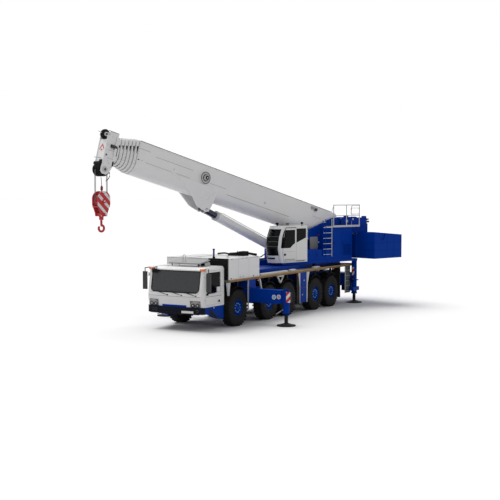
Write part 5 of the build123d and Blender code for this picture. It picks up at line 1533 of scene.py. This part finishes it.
        # Hoses between the boom's foot and the turntable
        for y in (-0.30, -0.15, 0.15, 0.30):
            deck.use("hose").tube([(-1.2, y, 2.24), (-1.5, y, 2.60), (-1.9, y, 2.85),
                                   (-2.3, y, 2.80), (-2.6, y, 2.40),
                                   (-2.65, y, 2.24)], 0.022, 8)
        deck.finish("upper_fittings", "upper")
        return {"FINISHED"}


class CRANE_OT_stage(bpy.types.Operator):
    """Set the camera, the soft light and the pale floor"""

    bl_idname = "crane.stage"
    bl_label = "Stage"

    def seen_directly(self, tree):
        """1 for rays of the camera, of mirrors and through glass, else 0."""
        path = tree.nodes.new("ShaderNodeLightPath")
        by_glass = maths(tree, "MAXIMUM", path.outputs["Is Glossy Ray"], path.outputs["Is Transmission Ray"])
        return maths(tree, "MAXIMUM", path.outputs["Is Camera Ray"], by_glass)

    def lay_floor(self, plan):
        """A wide pale floor, which lights the crane from below less than it shows."""
        tree, shader = principled("floor")
        shader.inputs["Roughness"].default_value = 0.9
        shader.inputs["Specular IOR Level"].default_value = 0.1
        colour = mixed(tree, self.seen_directly(tree), plan.floor_bounce[:], plan.floor_colour[:])
        tree.links.new(colour, shader.inputs["Base Color"])
        half = plan.floor_size / 2
        data = bpy.data.meshes.new("floor")
        data.from_pydata([(-half, -half, 0), (half, -half, 0), (half, half, 0), (-half, half, 0)], [],
                         [(0, 1, 2, 3)])
        data.materials.append(material("floor"))
        floor = loose_object("floor", data)

    def execute(self, context):
        plan, scene = context.scene.crane_stage, context.scene
        scene.view_settings.view_transform = "Standard"
        scene.view_settings.look = "None"
        camera = loose_object("camera", bpy.data.cameras.new("camera"))
        camera.location = plan.eye
        camera.rotation_euler = (Vector(plan.look_at) - Vector(plan.eye)).to_track_quat("-Z", "Y").to_euler()
        camera.data.lens = plan.lens
        camera.data.clip_end = 2000
        scene.camera = camera
        sun = loose_object("sun", bpy.data.lights.new("sun", "SUN"))
        sun.rotation_euler = Vector(plan.sun_way).to_track_quat("-Z", "Y").to_euler()
        sun.data.energy = plan.sun
        sun.data.angle = plan.sun_spread
        # The world lights the crane at one strength and shows behind it as white
        world = bpy.data.worlds.new("sky")
        world.use_nodes = True
        scene.world = world
        tree = world.node_tree
        mix = tree.nodes.new("ShaderNodeMixShader")
        tree.links.new(self.seen_directly(tree), mix.inputs["Fac"])
        for place, (back, strength) in enumerate(((tree.nodes["Background"], plan.sky),
                                                  (tree.nodes.new("ShaderNodeBackground"), 1.0)), start=1):
            back.inputs["Color"].default_value = (1, 1, 1, 1)
            back.inputs["Strength"].default_value = strength
            tree.links.new(back.outputs[0], mix.inputs[place])
        tree.links.new(mix.outputs[0], tree.nodes["World Output"].inputs["Surface"])
        if plan.studio_floor:
            self.lay_floor(plan)
        return {"FINISHED"}


class CRANE_PT_panel(bpy.types.Panel):
    """Sizes and buttons of the crane's looks"""

    bl_idname = "CRANE_PT_panel"
    bl_label = "Mobile crane"
    bl_space_type = "VIEW_3D"
    bl_region_type = "UI"
    bl_category = "Crane"

    def draw(self, context):
        layout = self.layout
        for group in ("crane_paint", "crane_wheels", "crane_stage"):
            settings = getattr(context.scene, group)
            for name in settings.bl_rna.properties.keys():
                if name not in ("rna_type", "name"):
                    layout.prop(settings, name)
        for operator in OPERATORS:
            layout.operator(operator.bl_idname)


GROUPS = [("crane_paint", CranePaint), ("crane_wheels", CraneWheels), ("crane_stage", CraneStage)]
OPERATORS = [CRANE_OT_materials, CRANE_OT_wheels, CRANE_OT_driver_cab, CRANE_OT_hood, CRANE_OT_chassis,
             CRANE_OT_outriggers, CRANE_OT_boom, CRANE_OT_head, CRANE_OT_crane_cab, CRANE_OT_upper,
             CRANE_OT_stage]


def register():
    for name, group in GROUPS:
        bpy.utils.register_class(group)
        setattr(bpy.types.Scene, name, PointerProperty(type=group))
    for operator in OPERATORS:
        bpy.utils.register_class(operator)
    bpy.utils.register_class(CRANE_PT_panel)


def unregister():
    bpy.utils.unregister_class(CRANE_PT_panel)
    for operator in reversed(OPERATORS):
        bpy.utils.unregister_class(operator)
    for name, group in reversed(GROUPS):
        delattr(bpy.types.Scene, name)
        bpy.utils.unregister_class(group)


def main():
    """Builds the looks round the frame in order."""
    register()
    for thing in list(bpy.data.objects):
        bpy.data.objects.remove(thing)
    shared["frame"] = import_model()
    bpy.ops.crane.materials()
    bpy.ops.crane.wheels()
    bpy.ops.crane.driver_cab()
    bpy.ops.crane.hood()
    bpy.ops.crane.chassis()
    bpy.ops.crane.outriggers()
    bpy.ops.crane.boom()
    bpy.ops.crane.head()
    bpy.ops.crane.crane_cab()
    bpy.ops.crane.upper()
    bpy.ops.crane.stage()


if __name__ == "__main__":
    main()
